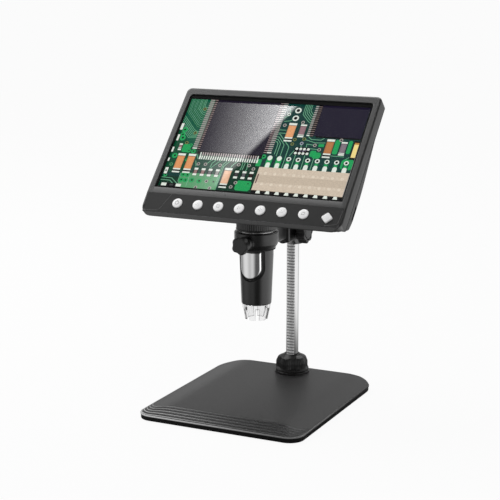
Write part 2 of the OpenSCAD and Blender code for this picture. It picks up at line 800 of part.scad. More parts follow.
// The front part of the tube's skin that the bright insert fills
module insert_form(edge, inset, skin) {
    at_tube() intersection() {
        turned([[tube_at(tube_low, inset + skin), tube_low],
                [tube_at(tube_low, inset), tube_low],
                [tube_at(ring_top, inset), ring_top - tube_straight],
                [tube_at(ring_top, inset), ring_top],
                [tube_at(ring_top, inset + skin), ring_top],
                [tube_at(ring_top, inset + skin), ring_top - tube_straight]]);
        union() {
            slab(-insert_half_w - edge, insert_half_w + edge, -far, 0,
                 insert_top - insert_h + insert_half_w, insert_top + edge);
            translate([0, 0, insert_top - insert_h + insert_half_w])
                rod_y(insert_half_w + edge, -far, 0);
        }
    }
}

module tube_body() {
    color(black) difference() {
        at_tube() turned([[tube_cup_r, tube_low], [tube_tip_r - 0.4, tube_low],
                          [tube_tip_r, tube_low + 0.4], [tube_r, ring_top - tube_straight],
                          [tube_r, clip_low], [tube_r - 0.7, clip_low],
                          [tube_r - 0.7, clip_low + wheel_clip_t],
                          [tube_r, clip_low + wheel_clip_t], [tube_r, tube_top],
                          [tube_room_r, tube_top], [tube_room_r, shelf_low + shelf_t],
                          [5, shelf_low + shelf_t], [5, shelf_low], [tube_guide_r, shelf_low],
                          [tube_guide_r, tube_low + cup_h], [tube_cup_r, tube_low + cup_h]]);
        insert_form(0.15, -over, insert_t + 0.1 + over);
        // slots that the focus pins and the push arms run in
        at_tube() slab(-far, far, -pin_r - 0.2, pin_r + 0.2, pin_z - groove_half_h,
                       pin_z + groove_half_h);
        at_tube() for (side = [-1, 1])
            slab(side * 7.65 - 1.05, side * 7.65 + 1.05, -push_arm_w / 2 - 0.2,
                 push_arm_w / 2 + 0.2, shelf_low - over, shelf_low + shelf_t + over);
        for (a = tube_screw_angles)
            at_tube() translate([0, 0, tube_screw_z]) rotate([0, 0, a])
                rod_x(0.92, tube_room_r - over, tube_r + over);
    }
}

module tube_screws() {
    color(steel)
        for (a = tube_screw_angles)
            at_tube() translate([0, 0, tube_screw_z]) rotate([0, 0, a]) {
                rod_x(0.9, tube_room_r + 0.3, neck_r - 1.2);
                rod_x(1.7, neck_r - 1.3, neck_r - 0.1);
            }
}

module wheel_clip() {
    color(steel) at_tube() difference() {
        turned([[tube_r - 0.65, clip_low + seat_gap], [tube_r + 1.4, clip_low + seat_gap],
                [tube_r + 1.4, clip_low + wheel_clip_t - seat_gap],
                [tube_r - 0.65, clip_low + wheel_clip_t - seat_gap]]);
        slab(-1.5, 1.5, 0, far, 0, far);
    }
}

module chrome_insert() {
    color(chrome) insert_form(0, 0.1, insert_t - 0.05);
}

module focus_wheel() {
    color(black) at_tube() difference() {
        turned([[tube_r + run_gap, wheel_low], [wheel_r - 0.5, wheel_low],
                [wheel_r, wheel_low + 0.5], [wheel_r, wheel_top - 0.5],
                [wheel_r - 0.5, wheel_top], [tube_r + run_gap, wheel_top],
                [tube_r + run_gap, pin_z + groove_half_h],
                [tube_r + 1.5, pin_z + groove_half_h], [tube_r + 1.5, pin_z - groove_half_h],
                [tube_r + run_gap, pin_z - groove_half_h]]);
        for (i = [0 : wheel_flutes - 1])
            rotate([0, 0, (i + 0.5) * 360 / wheel_flutes])
                translate([wheel_r + 0.35, 0, 0]) rod(0.6, wheel_low + 1.6, wheel_top - 1.6);
    }
}

module lens_holder() {
    color(soft_black) at_tube() difference() {
        union() {
            rod(barrel_r, led_board_z - 0.6, holder_low + 0.1);
            rod(tube_guide_r - 0.08, holder_low, holder_low + holder_h);
            for (side = [-1, 1]) {
                slab(side * 7.6 - push_arm_t / 2, side * 7.6 + push_arm_t / 2,
                     -push_arm_w / 2, push_arm_w / 2, holder_low + holder_h - 0.1, pin_z + 2);
                translate([0, 0, pin_z]) mirror([side < 0 ? 1 : 0, 0, 0])
                    rod_x(pin_r, 7.6, tube_r + 1.3);
            }
        }
        rod(barrel_r - 0.8, 0, led_board_z + 1.6);
        rod(2.4, 0, far);
        rod(6, holder_low + holder_h - 4, far);
    }
}

module lenses() {
    color(glass_tint) at_tube() {
        rod(barrel_r - 0.82, led_board_z - 0.2, led_board_z + 1.55);
        rod(5.98, holder_low + holder_h - 3.98, holder_low + holder_h - 2.4);
    }
}

module led_board() {
    color(white) at_tube() difference() {
        rod(tube_cup_r - seat_gap, led_board_z, led_board_z + led_board_t);
        rod(barrel_r + 0.3, 0, far);
    }
}

module leds() {
    color([0.98, 0.95, 0.7])
        for (i = [0 : led_count - 1])
            at_tube() rotate([0, 0, i * 360 / led_count]) translate([led_ring_r, 0, 0])
                rod(led_r, led_board_z - led_h, led_board_z);
}

module sensor_board() {
    color(board_green) at_tube() union() {
        slab(-sensor_half, sensor_half, -sensor_half, sensor_half,
             shelf_low + shelf_t, shelf_low + shelf_t + sensor_t);
        slab(-2.5, 2.5, -2.5, 2.5, shelf_low + shelf_t - 0.8, shelf_low + shelf_t + 0.1);
    }
}

// Flat ribbon from the camera up to the main board, cut off along the board's back
module camera_ribbon() {
    color([0.8, 0.78, 0.7]) intersection() {
        at_tube() slab(-4, 4, -0.2, 0.2, shelf_low + shelf_t + sensor_t, display_z);
        at_screen() slab(-far, far, -far, far, -far, board_low - 0.02);
    }
}

module clear_cap() {
    color(glass_tint) at_tube() difference() {
        turned([[tube_cup_r - run_gap - cap_wall, spigot_top], [tube_cup_r - run_gap, spigot_top],
                [tube_cup_r - run_gap, tube_low - 0.1], [tube_tip_r - 0.3, tube_low - 0.1],
                [tube_tip_r - 0.5, tube_low - 1.6], [cap_tip_r, tube_low - cap_h],
                [cap_tip_r - cap_wall, tube_low - cap_h],
                [tube_cup_r - run_gap - cap_wall, tube_low - 2]]);
        for (i = [0 : cap_slots - 1])
            rotate([0, 0, (i + 0.5) * 360 / cap_slots]) {
                slab(0, far, -cap_slot_w / 2, cap_slot_w / 2, tube_low - cap_h - over, slot_arch_z);
                translate([0, 0, slot_arch_z]) rod_x(cap_slot_w / 2, 0, far);
            }
    }
}

// ---------- screen unit ----------

// A closed outline of points, listed anticlockwise, with each edge moved inwards by d
function unit_normal(p, q) = [p[1] - q[1], q[0] - p[0]] / norm(q - p);
function inset_points(points, d) = [
    for (i = [0 : len(points) - 1])
        let (before = points[(i + len(points) - 1) % len(points)], here = points[i],
             after = points[(i + 1) % len(points)],
             n1 = unit_normal(before, here), n2 = unit_normal(here, after))
        here + d * (n1 + n2) / (1 + n1 * n2)
];

// Cross-section of the back between two side walls of one depth, open to the front
function back_section(depth, bevel) = [
    [-unit_half_w, far], [-unit_half_w, -depth], [-unit_half_w + bevel, -unit_t],
    [unit_half_w - bevel, -unit_t], [unit_half_w, -depth], [unit_half_w, far]
];

module unit_plan(inset, z0, z1) {
    translate([0, 0, z0]) linear_extrude(height = z1 - z0)
        plan(-unit_half_w + inset, unit_half_w - inset, -unit_down + inset, unit_up - inset,
             top_corner_r - inset / 2, bottom_corner_r - inset / 2);
}

module back_form(inset, front_z) {
    side_view = [[-unit_down, far], [-unit_down, lower_edge_z], [bend_y, bend_z],
                 [flat_low_y, -unit_t], [unit_up - bevel_up, -unit_t], [unit_up, -bezel_t],
                 [unit_up, far]];
    deep = unit_t - side_t;
    lean = atan2(side_t - bezel_t, wedge_top_y - wedge_low_y);
    intersection() {
        unit_plan(inset, -unit_t, front_z);
        along_x(inset_points(side_view, inset), -far, far);
        union() {
            along_y(inset_points(back_section(bezel_t, bevel_side), inset), -far, far);
            intersection() {
                along_y(inset_points(back_section(side_t, deep), inset), -far, far);
                translate([0, wedge_top_y, -bezel_t]) rotate([lean, 0, 0])
                    translate([0, 0, bezel_t])
                        along_y(inset_points(back_section(bezel_t, bevel_side), inset), -far, far);
            }
        }
    }
}

module bezel_form() {
    c = front_chamfer;
    intersection() {
        unit_plan(0, -bezel_t, 0);
        along_x([[unit_up, -bezel_t], [unit_up, -c], [unit_up - c, 0], [chin_y, 0],
                 [crease_y, crease_z], [-unit_down, lower_edge_z], [seam_y, -bezel_t]],
                -far, far);
        along_y([[-unit_half_w, -bezel_t], [-unit_half_w, -c], [-unit_half_w + c, 0],
                 [unit_half_w - c, 0], [unit_half_w, -c], [unit_half_w, -bezel_t]], -far, far);
    }
}

// Places something at each round button's middle
module at_buttons() {
    for (i = [0 : button_count - 1])
        translate([button_x0 + i * button_pitch, button_y, 0]) children();
}

module square_plan(half, r, z0, z1) {
    translate([square_x, button_y - 1.5, z0]) rotate([0, 0, 45])
        linear_extrude(height = z1 - z0) plan(-half, half, -half, half, r, r);
}

// The chin's face, or a face that lies below it, from the window's edge to the crease
function chin_line(drop) = [[chin_y - 0.3, -drop], [crease_y + 0.4, crease_z - drop]];

module front_bezel() {
    color(charcoal) at_screen() {
        difference() {
            bezel_form();
            // hollow behind the display and behind the chin
            translate([0, 0, -bezel_t - over]) linear_extrude(height = bezel_t + over - bezel_front_t)
                plan(-inner_half_w, inner_half_w, chin_y, inner_up, 3, 0.5);
            intersection() {
                translate([0, 0, -bezel_t - over])
                    linear_extrude(height = bezel_t + over + chin_inner_z)
                        plan(-inner_half_w, inner_half_w, -inner_down, chin_y + 1, 0.5, 7);
                along_x([[seam_y + under_wall - far * under_slope, -bezel_t + far],
                         [seam_y + under_wall + far * under_slope, -bezel_t - far],
                         [far * 2, -bezel_t - far], [far * 2, -bezel_t + far]], -far, far);
            }
            slab(-window_half_w, window_half_w, -window_down, window_up, -bezel_t, over);
            slab(-window_half_w - glass_lip, window_half_w + glass_lip,
                 -window_down - glass_lip, window_up + glass_lip, -bezel_t, -glass_sink);
            // seat of the key panel and the button holes
            along_x(concat(chin_line(key_panel_t), [[crease_y + 0.4, 1], [chin_y - 0.3, 1]]),
                    -key_panel_half_w, key_panel_half_w);
            at_buttons() rod(button_r + 0.3, -bezel_t, over);
            square_plan(square_half + 0.3, 1.4, -bezel_t, over);
        }
        // bosses for the housing screws and the key board
        for (x = housing_screw_x)
            translate([x, housing_screw_y, 0]) difference() {
                rod(housing_boss_r, -bezel_t, chin_inner_z + 0.1);
                rod(boss_hole_r, -bezel_t - over, chin_inner_z - 0.6);
            }
        for (x = key_boss_x)
            translate([x, button_y, 0]) difference() {
                rod(2, key_board_top, chin_inner_z + 0.1);
                rod(boss_hole_r, key_board_top - over, chin_inner_z - 0.6);
            }
    }
}

module key_panel() {
    color(charcoal * 0.85) at_screen() difference() {
        along_x(concat(chin_line(0), [for (i = [1, 0]) chin_line(key_panel_t - 0.02)[i]]),
                -key_panel_half_w + 0.1, key_panel_half_w - 0.1);
        at_buttons() rod(button_r + 0.15, -bezel_t, over);
        square_plan(square_half + 0.15, 1.4, -bezel_t, over);
    }
}

module rear_cover() {
    color(charcoal) difference() {
        union() {
            at_screen() difference() {
                back_form(0, -bezel_t);
                back_form(unit_wall, -bezel_t + over);
            }
            // columns for the housing screws and for the main board
            intersection() {
                at_screen() {
                    for (x = housing_screw_x)
                        translate([x, housing_screw_y, 0]) rod(2.9, -unit_t, -bezel_t);
                    for (p = board_boss)
                        translate([p[0], p[1], 0]) rod(2.5, -unit_t, board_low);
                    slab(inner_half_w - 13, inner_half_w - 3, card_y - 4, card_y + 4,
                         -unit_t, card_top - card_h); // rest for the card socket
                }
                at_screen() back_form(unit_wall / 2, 0);
            }
            // hooks that hold the top edge inside the bezel
            at_screen() for (x = [-hook_x, 0, hook_x])
                slab(x - hook_half_w, x + hook_half_w, inner_up - 1.3, inner_up - 0.1,
                     -bezel_t - 1.5, -bezel_t + 1.5);
            // sleeve that the camera tube is fixed in
            intersection() {
                at_tube() rod(neck_r, neck_low, display_z);
                at_screen() slab(-far, far, -far, far, -far, -unit_t + 7);
            }
        }
        at_tube() rod(tube_r + seat_gap, neck_low - over, neck_low + 30);
        at_screen() {
            for (x = housing_screw_x)
                translate([x, housing_screw_y, 0]) {
                    rod(boss_hole_r + 0.15, -unit_t - over, 0);
                    rod(screw_head_r + 0.1, -unit_t - over, housing_seat_z);
                }
            for (p = board_boss)
                translate([p[0], p[1], 0]) rod(board_screw_r + 0.02, -unit_t + 3, 0);
            // card slot on the right and charging port on the left
            slab(unit_half_w - unit_wall - over, unit_half_w + over,
                 card_y - card_half_w + 0.1, card_y + card_half_w - 0.1,
                 card_top - card_h + 0.1, card_top - 0.2);
            slab(-unit_half_w - over, -unit_half_w + unit_wall + over,
                 port_y - port_half_w + 0.2, port_y + port_half_w - 0.2,
                 board_low - port_h + 0.3, board_low - 0.1);
            // air slots high on the back
            for (i = [0 : vent_rows - 1], x = vent_x)
                translate([x, vent_y + i * vent_pitch, -unit_t - over])
                    linear_extrude(height = unit_wall + 2 * over)
                        plan(0, vent_w, 0, vent_h, vent_h / 2 - 0.05, vent_h / 2 - 0.05);
        }
        for (a = tube_screw_angles)
            at_tube() translate([0, 0, tube_screw_z]) rotate([0, 0, a]) {
                rod_x(1, tube_r, neck_r + over);
                rod_x(1.8, neck_r - 1.3, neck_r + over);
            }
    }
}

module housing_screws() {
    color(steel) at_screen()
        for (x = housing_screw_x)
            translate([x, housing_screw_y, housing_seat_z - housing_head_t]) mirror([0, 0, 1])
                screw(screw_head_r, housing_head_t, boss_hole_r - 0.02, housing_screw_l);
}

module window_glass() {
    color(glass_tint) at_screen()
        slab(-window_half_w - glass_lip + 0.1, window_half_w + glass_lip - 0.1,
             -window_down - glass_lip + 0.1, window_up + glass_lip - 0.1,
             glass_back, -glass_sink - 0.01);
}

module display_panel() {
    color(black) at_screen() slab(-panel_half_w, panel_half_w, -panel_down, panel_up,
                                  panel_back, panel_front);
}

module main_board() {
    color(board_green) at_screen() difference() {
        union() {
            slab(board_left, board_right, board_down, board_up, board_low, board_top);
            slab(board_left + 23, board_left + 37, -8, 6, board_low - 1.2, board_low + 0.1);
            slab(board_left + 45, board_left + 55, -4, 8, board_low - 1, board_low + 0.1);
            slab(board_left + 63, board_left + 73, 6, 18, board_low - 1.6, board_low + 0.1);
            slab(-5, 5, -26.5, -23.5, board_low - 0.01, board_low + 0.1);
        }
        for (p = board_boss)
            translate([p[0], p[1], 0]) rod(board_screw_r + 0.1, -unit_t, 0);
    }
}

module board_screws() {
    color(steel) at_screen()
        for (p = board_boss)
            translate([p[0], p[1], board_top + 1])
                screw(screw_head_r, 1, board_screw_r, board_screw_l);
}

module key_board() {
    color(board_green) at_screen() difference() {
        slab(key_board_left, key_board_right, key_board_down, key_board_up,
             key_board_low, key_board_top);
        for (x = key_boss_x)
            translate([x, button_y, 0]) rod(boss_hole_r + 0.1, -unit_t, 0);
        for (x = housing_screw_x)
            translate([x, housing_screw_y, 0]) rod(housing_boss_r + 0.3, -unit_t, 0);
    }
}

module key_switches() {
    color(steel) at_screen()
        for (x = [for (i = [0 : button_count - 1]) button_x0 + i * button_pitch, square_x]) {
            y = x == square_x ? button_y - 1.5 : button_y;
            slab(x - switch_half, x + switch_half, y - switch_half, y + switch_half,
                 key_board_top, switch_top - 0.5);
            translate([x, y, 0]) rod(1.3, switch_top - 0.6, switch_top);
        }
}

module key_board_screws() {
    color(steel) at_screen()
        for (x = key_boss_x)
            translate([x, button_y, key_board_low - 1]) mirror([0, 0, 1])
                screw(screw_head_r, 1, boss_hole_r - 0.02, key_screw_l);
}

module card_socket() {
    color(steel) at_screen() difference() {
        slab(inner_half_w - 14, inner_half_w - 0.1, card_y - card_half_w,
             card_y + card_half_w, card_top - card_h, card_top);
        slab(inner_half_w - 12, inner_half_w + over, card_y - card_half_w + 0.5,
             card_y + card_half_w - 0.5, card_top - card_h + 0.4, card_top - 0.5);
    }
}

module charge_port() {
    color(steel) at_screen() difference() {
        slab(-inner_half_w + port_in, -inner_half_w + 9, port_y - port_half_w,
             port_y + port_half_w, board_low - port_h, board_low);
        slab(-unit_half_w, -inner_half_w + 7.5, port_y - port_half_w + 0.6,
             port_y + port_half_w - 0.6, board_low - port_h + 0.6, board_low - 0.6);
    }
}

module battery_pack() {
    color([0.2, 0.25, 0.4]) at_screen()
        slab(battery_left, battery_right, battery_down, battery_up, -unit_t + unit_wall + 0.05,
             -unit_t + unit_wall + 0.05 + battery_t);
}

module button_post(z_top) {
    rod(1.2, button_stem_low, z_top);
}

module round_button(i) {
    color(white) at_screen() translate([button_x0 + (i - 1) * button_pitch, button_y, 0]) {
        turned([[0, button_flange_top - button_flange_t],
                [button_r + 0.8, button_flange_top - button_flange_t],
                [button_r + 0.8, button_flange_top], [button_r, button_flange_top],
                [button_r, button_proud - 0.4], [button_r - 0.4, button_proud],
                [0, button_proud]]);
        button_post(button_flange_top - button_flange_t + 0.01);
    }
}

module square_button() {
    color(white) at_screen() {
        square_plan(square_half, 1.2, button_flange_top - 0.01, button_proud);
        square_plan(square_half + 0.8, 1.4, button_flange_top - button_flange_t, button_flange_top);
        translate([square_x, button_y - 1.5, 0])
            button_post(button_flange_top - button_flange_t + 0.01);
    }
}

module button_1() { round_button(1); }
module button_2() { round_button(2); }
module button_3() { round_button(3); }
module button_4() { round_button(4); }
module button_5() { round_button(5); }
module button_6() { round_button(6); }
module button_7() { round_button(7); }
module button_8() { square_button(); }

base_plate();
base_weight();
base_bottom();
base_feet();
base_screws();
post_socket();
socket_nut();
lock_collet();
post_lock_nut();
post();
post_cap();
lift_carriage();
carriage_bush();
arm_screws();
drag_screw();
pinion();
pinion_clip();
height_knob();
holder_ring();
holder_liner();
thumb_screw();
thumb_knob();
front_bezel();
key_panel();
rear_cover();
housing_screws();
window_glass();
display_panel();
main_board();
board_screws();
key_board();
key_switches();
key_board_screws();
card_socket();
charge_port();
battery_pack();
tube_body();
tube_screws();
wheel_clip();
chrome_insert();
camera_ribbon();
sensor_board();
led_board();
leds();
focus_wheel();
lens_holder();
lenses();
clear_cap();
button_1();
button_2();
button_3();
button_4();
button_5();
button_6();
button_7();
button_8();
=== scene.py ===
"""Digital microscope with its own display: the finished surfaces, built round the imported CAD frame.

Every length in this file is in millimetres until a piece is made, and +Z is up, as in the frame.
"""

import json
import math

import bmesh
import bpy
import numpy as np
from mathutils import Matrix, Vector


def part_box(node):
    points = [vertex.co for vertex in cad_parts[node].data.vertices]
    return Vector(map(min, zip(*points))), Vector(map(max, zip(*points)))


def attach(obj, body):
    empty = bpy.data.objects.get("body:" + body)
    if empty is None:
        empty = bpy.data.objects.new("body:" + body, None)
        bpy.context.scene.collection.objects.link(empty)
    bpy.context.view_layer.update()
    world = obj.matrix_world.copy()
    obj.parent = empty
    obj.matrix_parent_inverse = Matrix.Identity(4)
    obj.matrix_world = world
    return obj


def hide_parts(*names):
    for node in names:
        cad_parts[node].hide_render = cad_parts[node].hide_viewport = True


bl_info = {
    "name": "Display Microscope",
    "version": (1, 0, 0),
    "blender": (4, 5, 0),
    "location": "View3D > Sidebar > Microscope",
    "description": "Builds the finished surfaces of a digital microscope round its CAD frame",
    "category": "Object",
}

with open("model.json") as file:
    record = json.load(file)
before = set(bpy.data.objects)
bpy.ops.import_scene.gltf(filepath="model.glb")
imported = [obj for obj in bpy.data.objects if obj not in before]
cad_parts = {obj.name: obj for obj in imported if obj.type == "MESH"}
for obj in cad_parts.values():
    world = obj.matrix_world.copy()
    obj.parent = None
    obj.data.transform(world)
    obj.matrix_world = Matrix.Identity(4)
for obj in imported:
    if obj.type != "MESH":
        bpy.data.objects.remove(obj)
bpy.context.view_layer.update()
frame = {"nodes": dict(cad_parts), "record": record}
MM = 0.001


def node_box(name):
    """Lowest and highest corner of a CAD node, in millimetres."""
    low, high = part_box(name)
    return np.array(low) / MM, np.array(high) / MM


def middle_of(name, axis):
    """Middle of a CAD node along one axis, in millimetres."""
    low, high = node_box(name)
    return float(low[axis] + high[axis]) / 2


# Places that the pieces share, read from the frame, and the tilted screen's own directions
TUBE_Y = middle_of("holder_liner", 1)
POST_Y = middle_of("post", 1)
SCREEN_TILT = math.radians(46.9)
SCREEN_MIDDLE = np.array([0.0, 5.0, 201.7])
SCREEN_RIGHT = np.array([1.0, 0.0, 0.0])
SCREEN_UP = np.array([0.0, math.cos(SCREEN_TILT), math.sin(SCREEN_TILT)])
SCREEN_OUT = np.array([0.0, -math.sin(SCREEN_TILT), math.cos(SCREEN_TILT)])


# ---------- shader values as arithmetic ----------


class Value:
    """The output of a shader node; ordinary arithmetic on it adds Math nodes."""

    def __init__(self, finish, socket):
        self.finish = finish
        self.socket = socket

    def math(self, operation, *others):
        return self.finish.add("Math", {"operation": operation}, dict(enumerate((self, *others))))

    def __add__(self, other):
        return self.math("ADD", other)

    def __sub__(self, other):
        return self.math("SUBTRACT", other)

    def __mul__(self, other):
        return self.math("MULTIPLY", other)

    def __truediv__(self, other):
        return self.math("DIVIDE", other)

    def __radd__(self, other):
        return self.math("ADD", other)

    def __rmul__(self, other):
        return self.math("MULTIPLY", other)

    def __rsub__(self, other):
        return self.finish.add("Math", {"operation": "SUBTRACT"}, {0: other, 1: self})

    def __rtruediv__(self, other):
        return self.finish.add("Math", {"operation": "DIVIDE"}, {0: other, 1: self})

    def fade(self, low, high):
        """0 below low, 1 above high and a smooth step between."""
        settings = {"interpolation_type": "SMOOTHSTEP"}
        return self.finish.add("MapRange", settings, {"Value": self, "From Min": low, "From Max": high})

    def band(self, start, low, high, end):
        """1 from low to high and 0 outside start to end, with smooth steps between."""
        return self.fade(start, low) * self.fade(end, high)

    def swing(self, amount):
        """A value from 0 to 1 as a swing of so much round nothing."""
        return (self - 0.5) * amount


class Finish:
    """A material, or the world's surroundings, whose nodes are added by kind, with their settings first
    and then their sockets."""

    def __init__(self, name, world=None):
        self.material = world or bpy.data.materials.new(name)
        self.material.use_nodes = True
        self.tree = self.material.node_tree
        self.tree.nodes.clear()

    def add(self, kind, settings=None, inputs=None, out=0):
        node = self.tree.nodes.new("ShaderNode" + kind)
        for key, value in (settings or {}).items():
            setattr(node, key, value)
        for key, value in (inputs or {}).items():
            if isinstance(value, Value):
                self.tree.links.new(value.socket, node.inputs[key])
            else:
                node.inputs[key].default_value = value
        return Value(self, node.outputs[out]) if node.outputs else None

    def place(self):
        return self.add("TexCoord", out="Object")

    def axes(self):
        """The object's own x, y and z in millimetres."""
        split = self.add("SeparateXYZ", None, {0: self.place()}).socket.node
        return [Value(self, socket) / MM for socket in split.outputs]

    def rays(self):
        """1 for rays that look straight or through clear pieces at the stage, and 1 for rays that reach
        it from a glossy face, also one that lies behind glass."""
        seen, through, glossy, depth = (self.add("LightPath", out=name) for name in (
            "Is Camera Ray", "Is Transmission Ray", "Is Glossy Ray", "Glossy Depth"))
        behind = through * depth.math("MINIMUM", 1.0)
        return (seen + through - behind).math("MINIMUM", 1.0), glossy * (1 - through) + behind

    def noise(self, per_mm, detail=2.0, stretch=(1, 1, 1)):
        """Soft noise from 0 to 1 with so many waves to a millimetre, drawn out along an axis by stretch."""
        scale = {"Vector": self.place(), "Scale": stretch}
        return self.add("TexNoise", None, {"Vector": self.add("Mapping", None, scale),
                                           "Scale": per_mm / MM, "Detail": detail})

    def mix(self, share, first, second, blend="MIX"):
        """A colour between two colours, or the two blended in another way."""
        settings = {"data_type": "RGBA", "blend_type": blend}
        return self.add("Mix", settings, {0: share, 6: first, 7: second}, 2)

    def dot(self, place, direction):
        """How far a place lies along a direction."""
        return self.add("VectorMath", {"operation": "DOT_PRODUCT"}, {0: place, 1: direction}, "Value")

    def bump(self, height, depth_mm):
        return self.add("Bump", None, {"Height": height, "Distance": depth_mm * MM, "Strength": 1.0})

    def surface(self, **sockets):
        """Ends the material in one Principled shader. Underscores in a name stand for spaces."""
        named = {key.replace("_", " "): value for key, value in sockets.items()}
        shader = self.add("BsdfPrincipled", None, named)
        self.add("OutputMaterial", None, {"Surface": shader})
        return self.material


# How fine the noises are, in waves to a millimetre
DRIFT, SMUDGE, SCUFF, WEAR = 0.02, 0.12, 0.25, 0.3


def grey(level, warm=0.0):
    """A neutral colour as linear light; warm leans it to red and away from blue."""
    return (level * (1 + warm), level, level * (1 - warm), 1.0)


def shade(colour, factor):
    return (*(channel * factor for channel in colour[:3]), 1.0)


def moulded(name, colour, roughness, grain_mm=0.5, grain_depth=0.012, specular=0.5, coat=0.0,
            sides=0.0):
    """Moulded plastic: fine spark grain in relief, slow drift of tone and of gloss. Walls that lie further
    out sideways than `sides` mm get painted shade, darker and duller."""
    finish = Finish(name)
    drift = finish.noise(DRIFT, 3.0)
    grain = finish.noise(1 / grain_mm, 4.0)
    scuff = finish.noise(SCUFF, 5.0, (1, 1, 0.25))
    tone = finish.mix(drift, shade(colour, 0.9), shade(colour, 1.1))
    gloss = roughness + scuff.swing(0.12) + grain.swing(0.06)
    if sides:
        # painted shade: walls further out sideways than `sides` mm are darkened and made duller
        wall = finish.axes()[0].math("ABSOLUTE").fade(sides, sides + 0.5)
        tone = finish.mix(wall, tone, grey(0.006))
        gloss = gloss + wall * 0.3
    return finish.surface(Base_Color=tone, Roughness=gloss, Normal=finish.bump(grain, grain_depth),
                          Specular_IOR_Level=specular, Coat_Weight=coat, Coat_Roughness=0.12)


def metal(name, colour, roughness, line_mm=0.12, line_depth=0.002, along=(1, 1, 0.05)):
    """Turned or drawn metal: fine lines along one axis, with faint handling marks in its gloss."""
    finish = Finish(name)
    lines = finish.noise(1 / line_mm, 3.0, along)
    smudge = finish.noise(SMUDGE, 4.0)
    tone = finish.mix(smudge, shade(colour, 0.92), colour)
    gloss = roughness + smudge.swing(0.08) + lines.swing(0.05)
    return finish.surface(Base_Color=tone, Roughness=gloss, Metallic=1.0,
                          Normal=finish.bump(lines, line_depth))


def clear(name, colour, roughness, ior=1.45, haze=0.0):
    """Clear moulding or glass with a little wear in its gloss."""
    finish = Finish(name)
    wear = finish.noise(WEAR, 4.0)
    return finish.surface(Base_Color=finish.mix(wear, colour, shade(colour, 0.985)),
                          Roughness=roughness + wear * haze, IOR=ior, Transmission_Weight=1.0)


def board_finish(name):
    """Circuit board: solder mask with copper tracks that show through as paler lanes."""
    finish = Finish(name)
    tracks = finish.noise(0.35, 0.0, (1, 0.15, 1)).fade(0.5, 0.54)
    pads = finish.add("TexVoronoi", {"feature": "F1"},
                      {"Vector": finish.place(), "Scale": 260.0}).fade(0.16, 0.13)
    mask = finish.mix(tracks, (0.012, 0.115, 0.055, 1), (0.03, 0.2, 0.09, 1))
    return finish.surface(Base_Color=finish.mix(pads, mask, (0.62, 0.56, 0.42, 1)),
                          Roughness=0.42 - pads * 0.15, Metallic=pads * 0.7,
                          Normal=finish.bump(tracks, 0.03))


def wrap_finish(name):
    """Battery pouch: silver foil with a soft crinkle."""
    finish = Finish(name)
    crinkle = finish.noise(0.18, 5.0)
    return finish.surface(Base_Color=finish.mix(crinkle, grey(0.45), grey(0.62)), Metallic=0.8,
                          Roughness=0.34 + crinkle * 0.2, Normal=finish.bump(crinkle, 0.2))


def lamp_finish(name):
    """Lamp lens: pale resin with a warm yellow core."""
    finish = Finish(name)
    core = finish.noise(0.6, 2.0)
    return finish.surface(Base_Color=finish.mix(core, (0.9, 0.86, 0.55, 1), (0.95, 0.93, 0.8, 1)),
                          Roughness=0.18 + core * 0.1, Specular_IOR_Level=0.6)


def picture_finish():
    """The picture on the display: its own colours, lit from behind, with the fine mottle of a lens image.
    The gloss of glass and display sits here, stronger than that of plain glass."""
    finish = Finish("display_picture")
    paint = finish.add("Attribute", {"attribute_name": "paint"}, out="Color")
    mottle = finish.noise(0.9, 5.0).fade(0.25, 0.75)
    dimmed = finish.mix(1.0, paint, grey(0.72), "MULTIPLY")
    pixels = finish.mix(mottle * 0.55, paint, dimmed)
    return finish.surface(Base_Color=grey(0.003), Roughness=0.0, IOR=2.8, Emission_Color=pixels,
                          Emission_Strength=0.97)


def cap_finish(slots, half, arch):
    """Clear moulding, greyer in a fine line along both edges of each slot."""
    finish = Finish("slotted_clear")
    x, y, z = finish.axes()
    radius = 11.0
    along = (y - TUBE_Y).math("ARCTAN2", x) * radius
    away = along.math("PINGPONG", radius * math.pi / slots)
    line = away.band(half - 0.1, half + 0.15, half + 0.4, half + 0.8) * z.fade(arch + 1.6, arch + 1.2)
    over = z.band(arch + 1.4, arch + 1.7, arch + 1.9, arch + 2.3) * away.fade(half + 0.7, half + 0.3)
    wear = finish.noise(WEAR, 4.0)
    body = finish.mix(wear, grey(0.86), grey(0.94))
    return finish.surface(Base_Color=finish.mix((line + over).math("MINIMUM", 1.0), body, grey(0.5)),
                          Roughness=0.03 + wear * 0.05, IOR=1.3, Transmission_Weight=1.0)


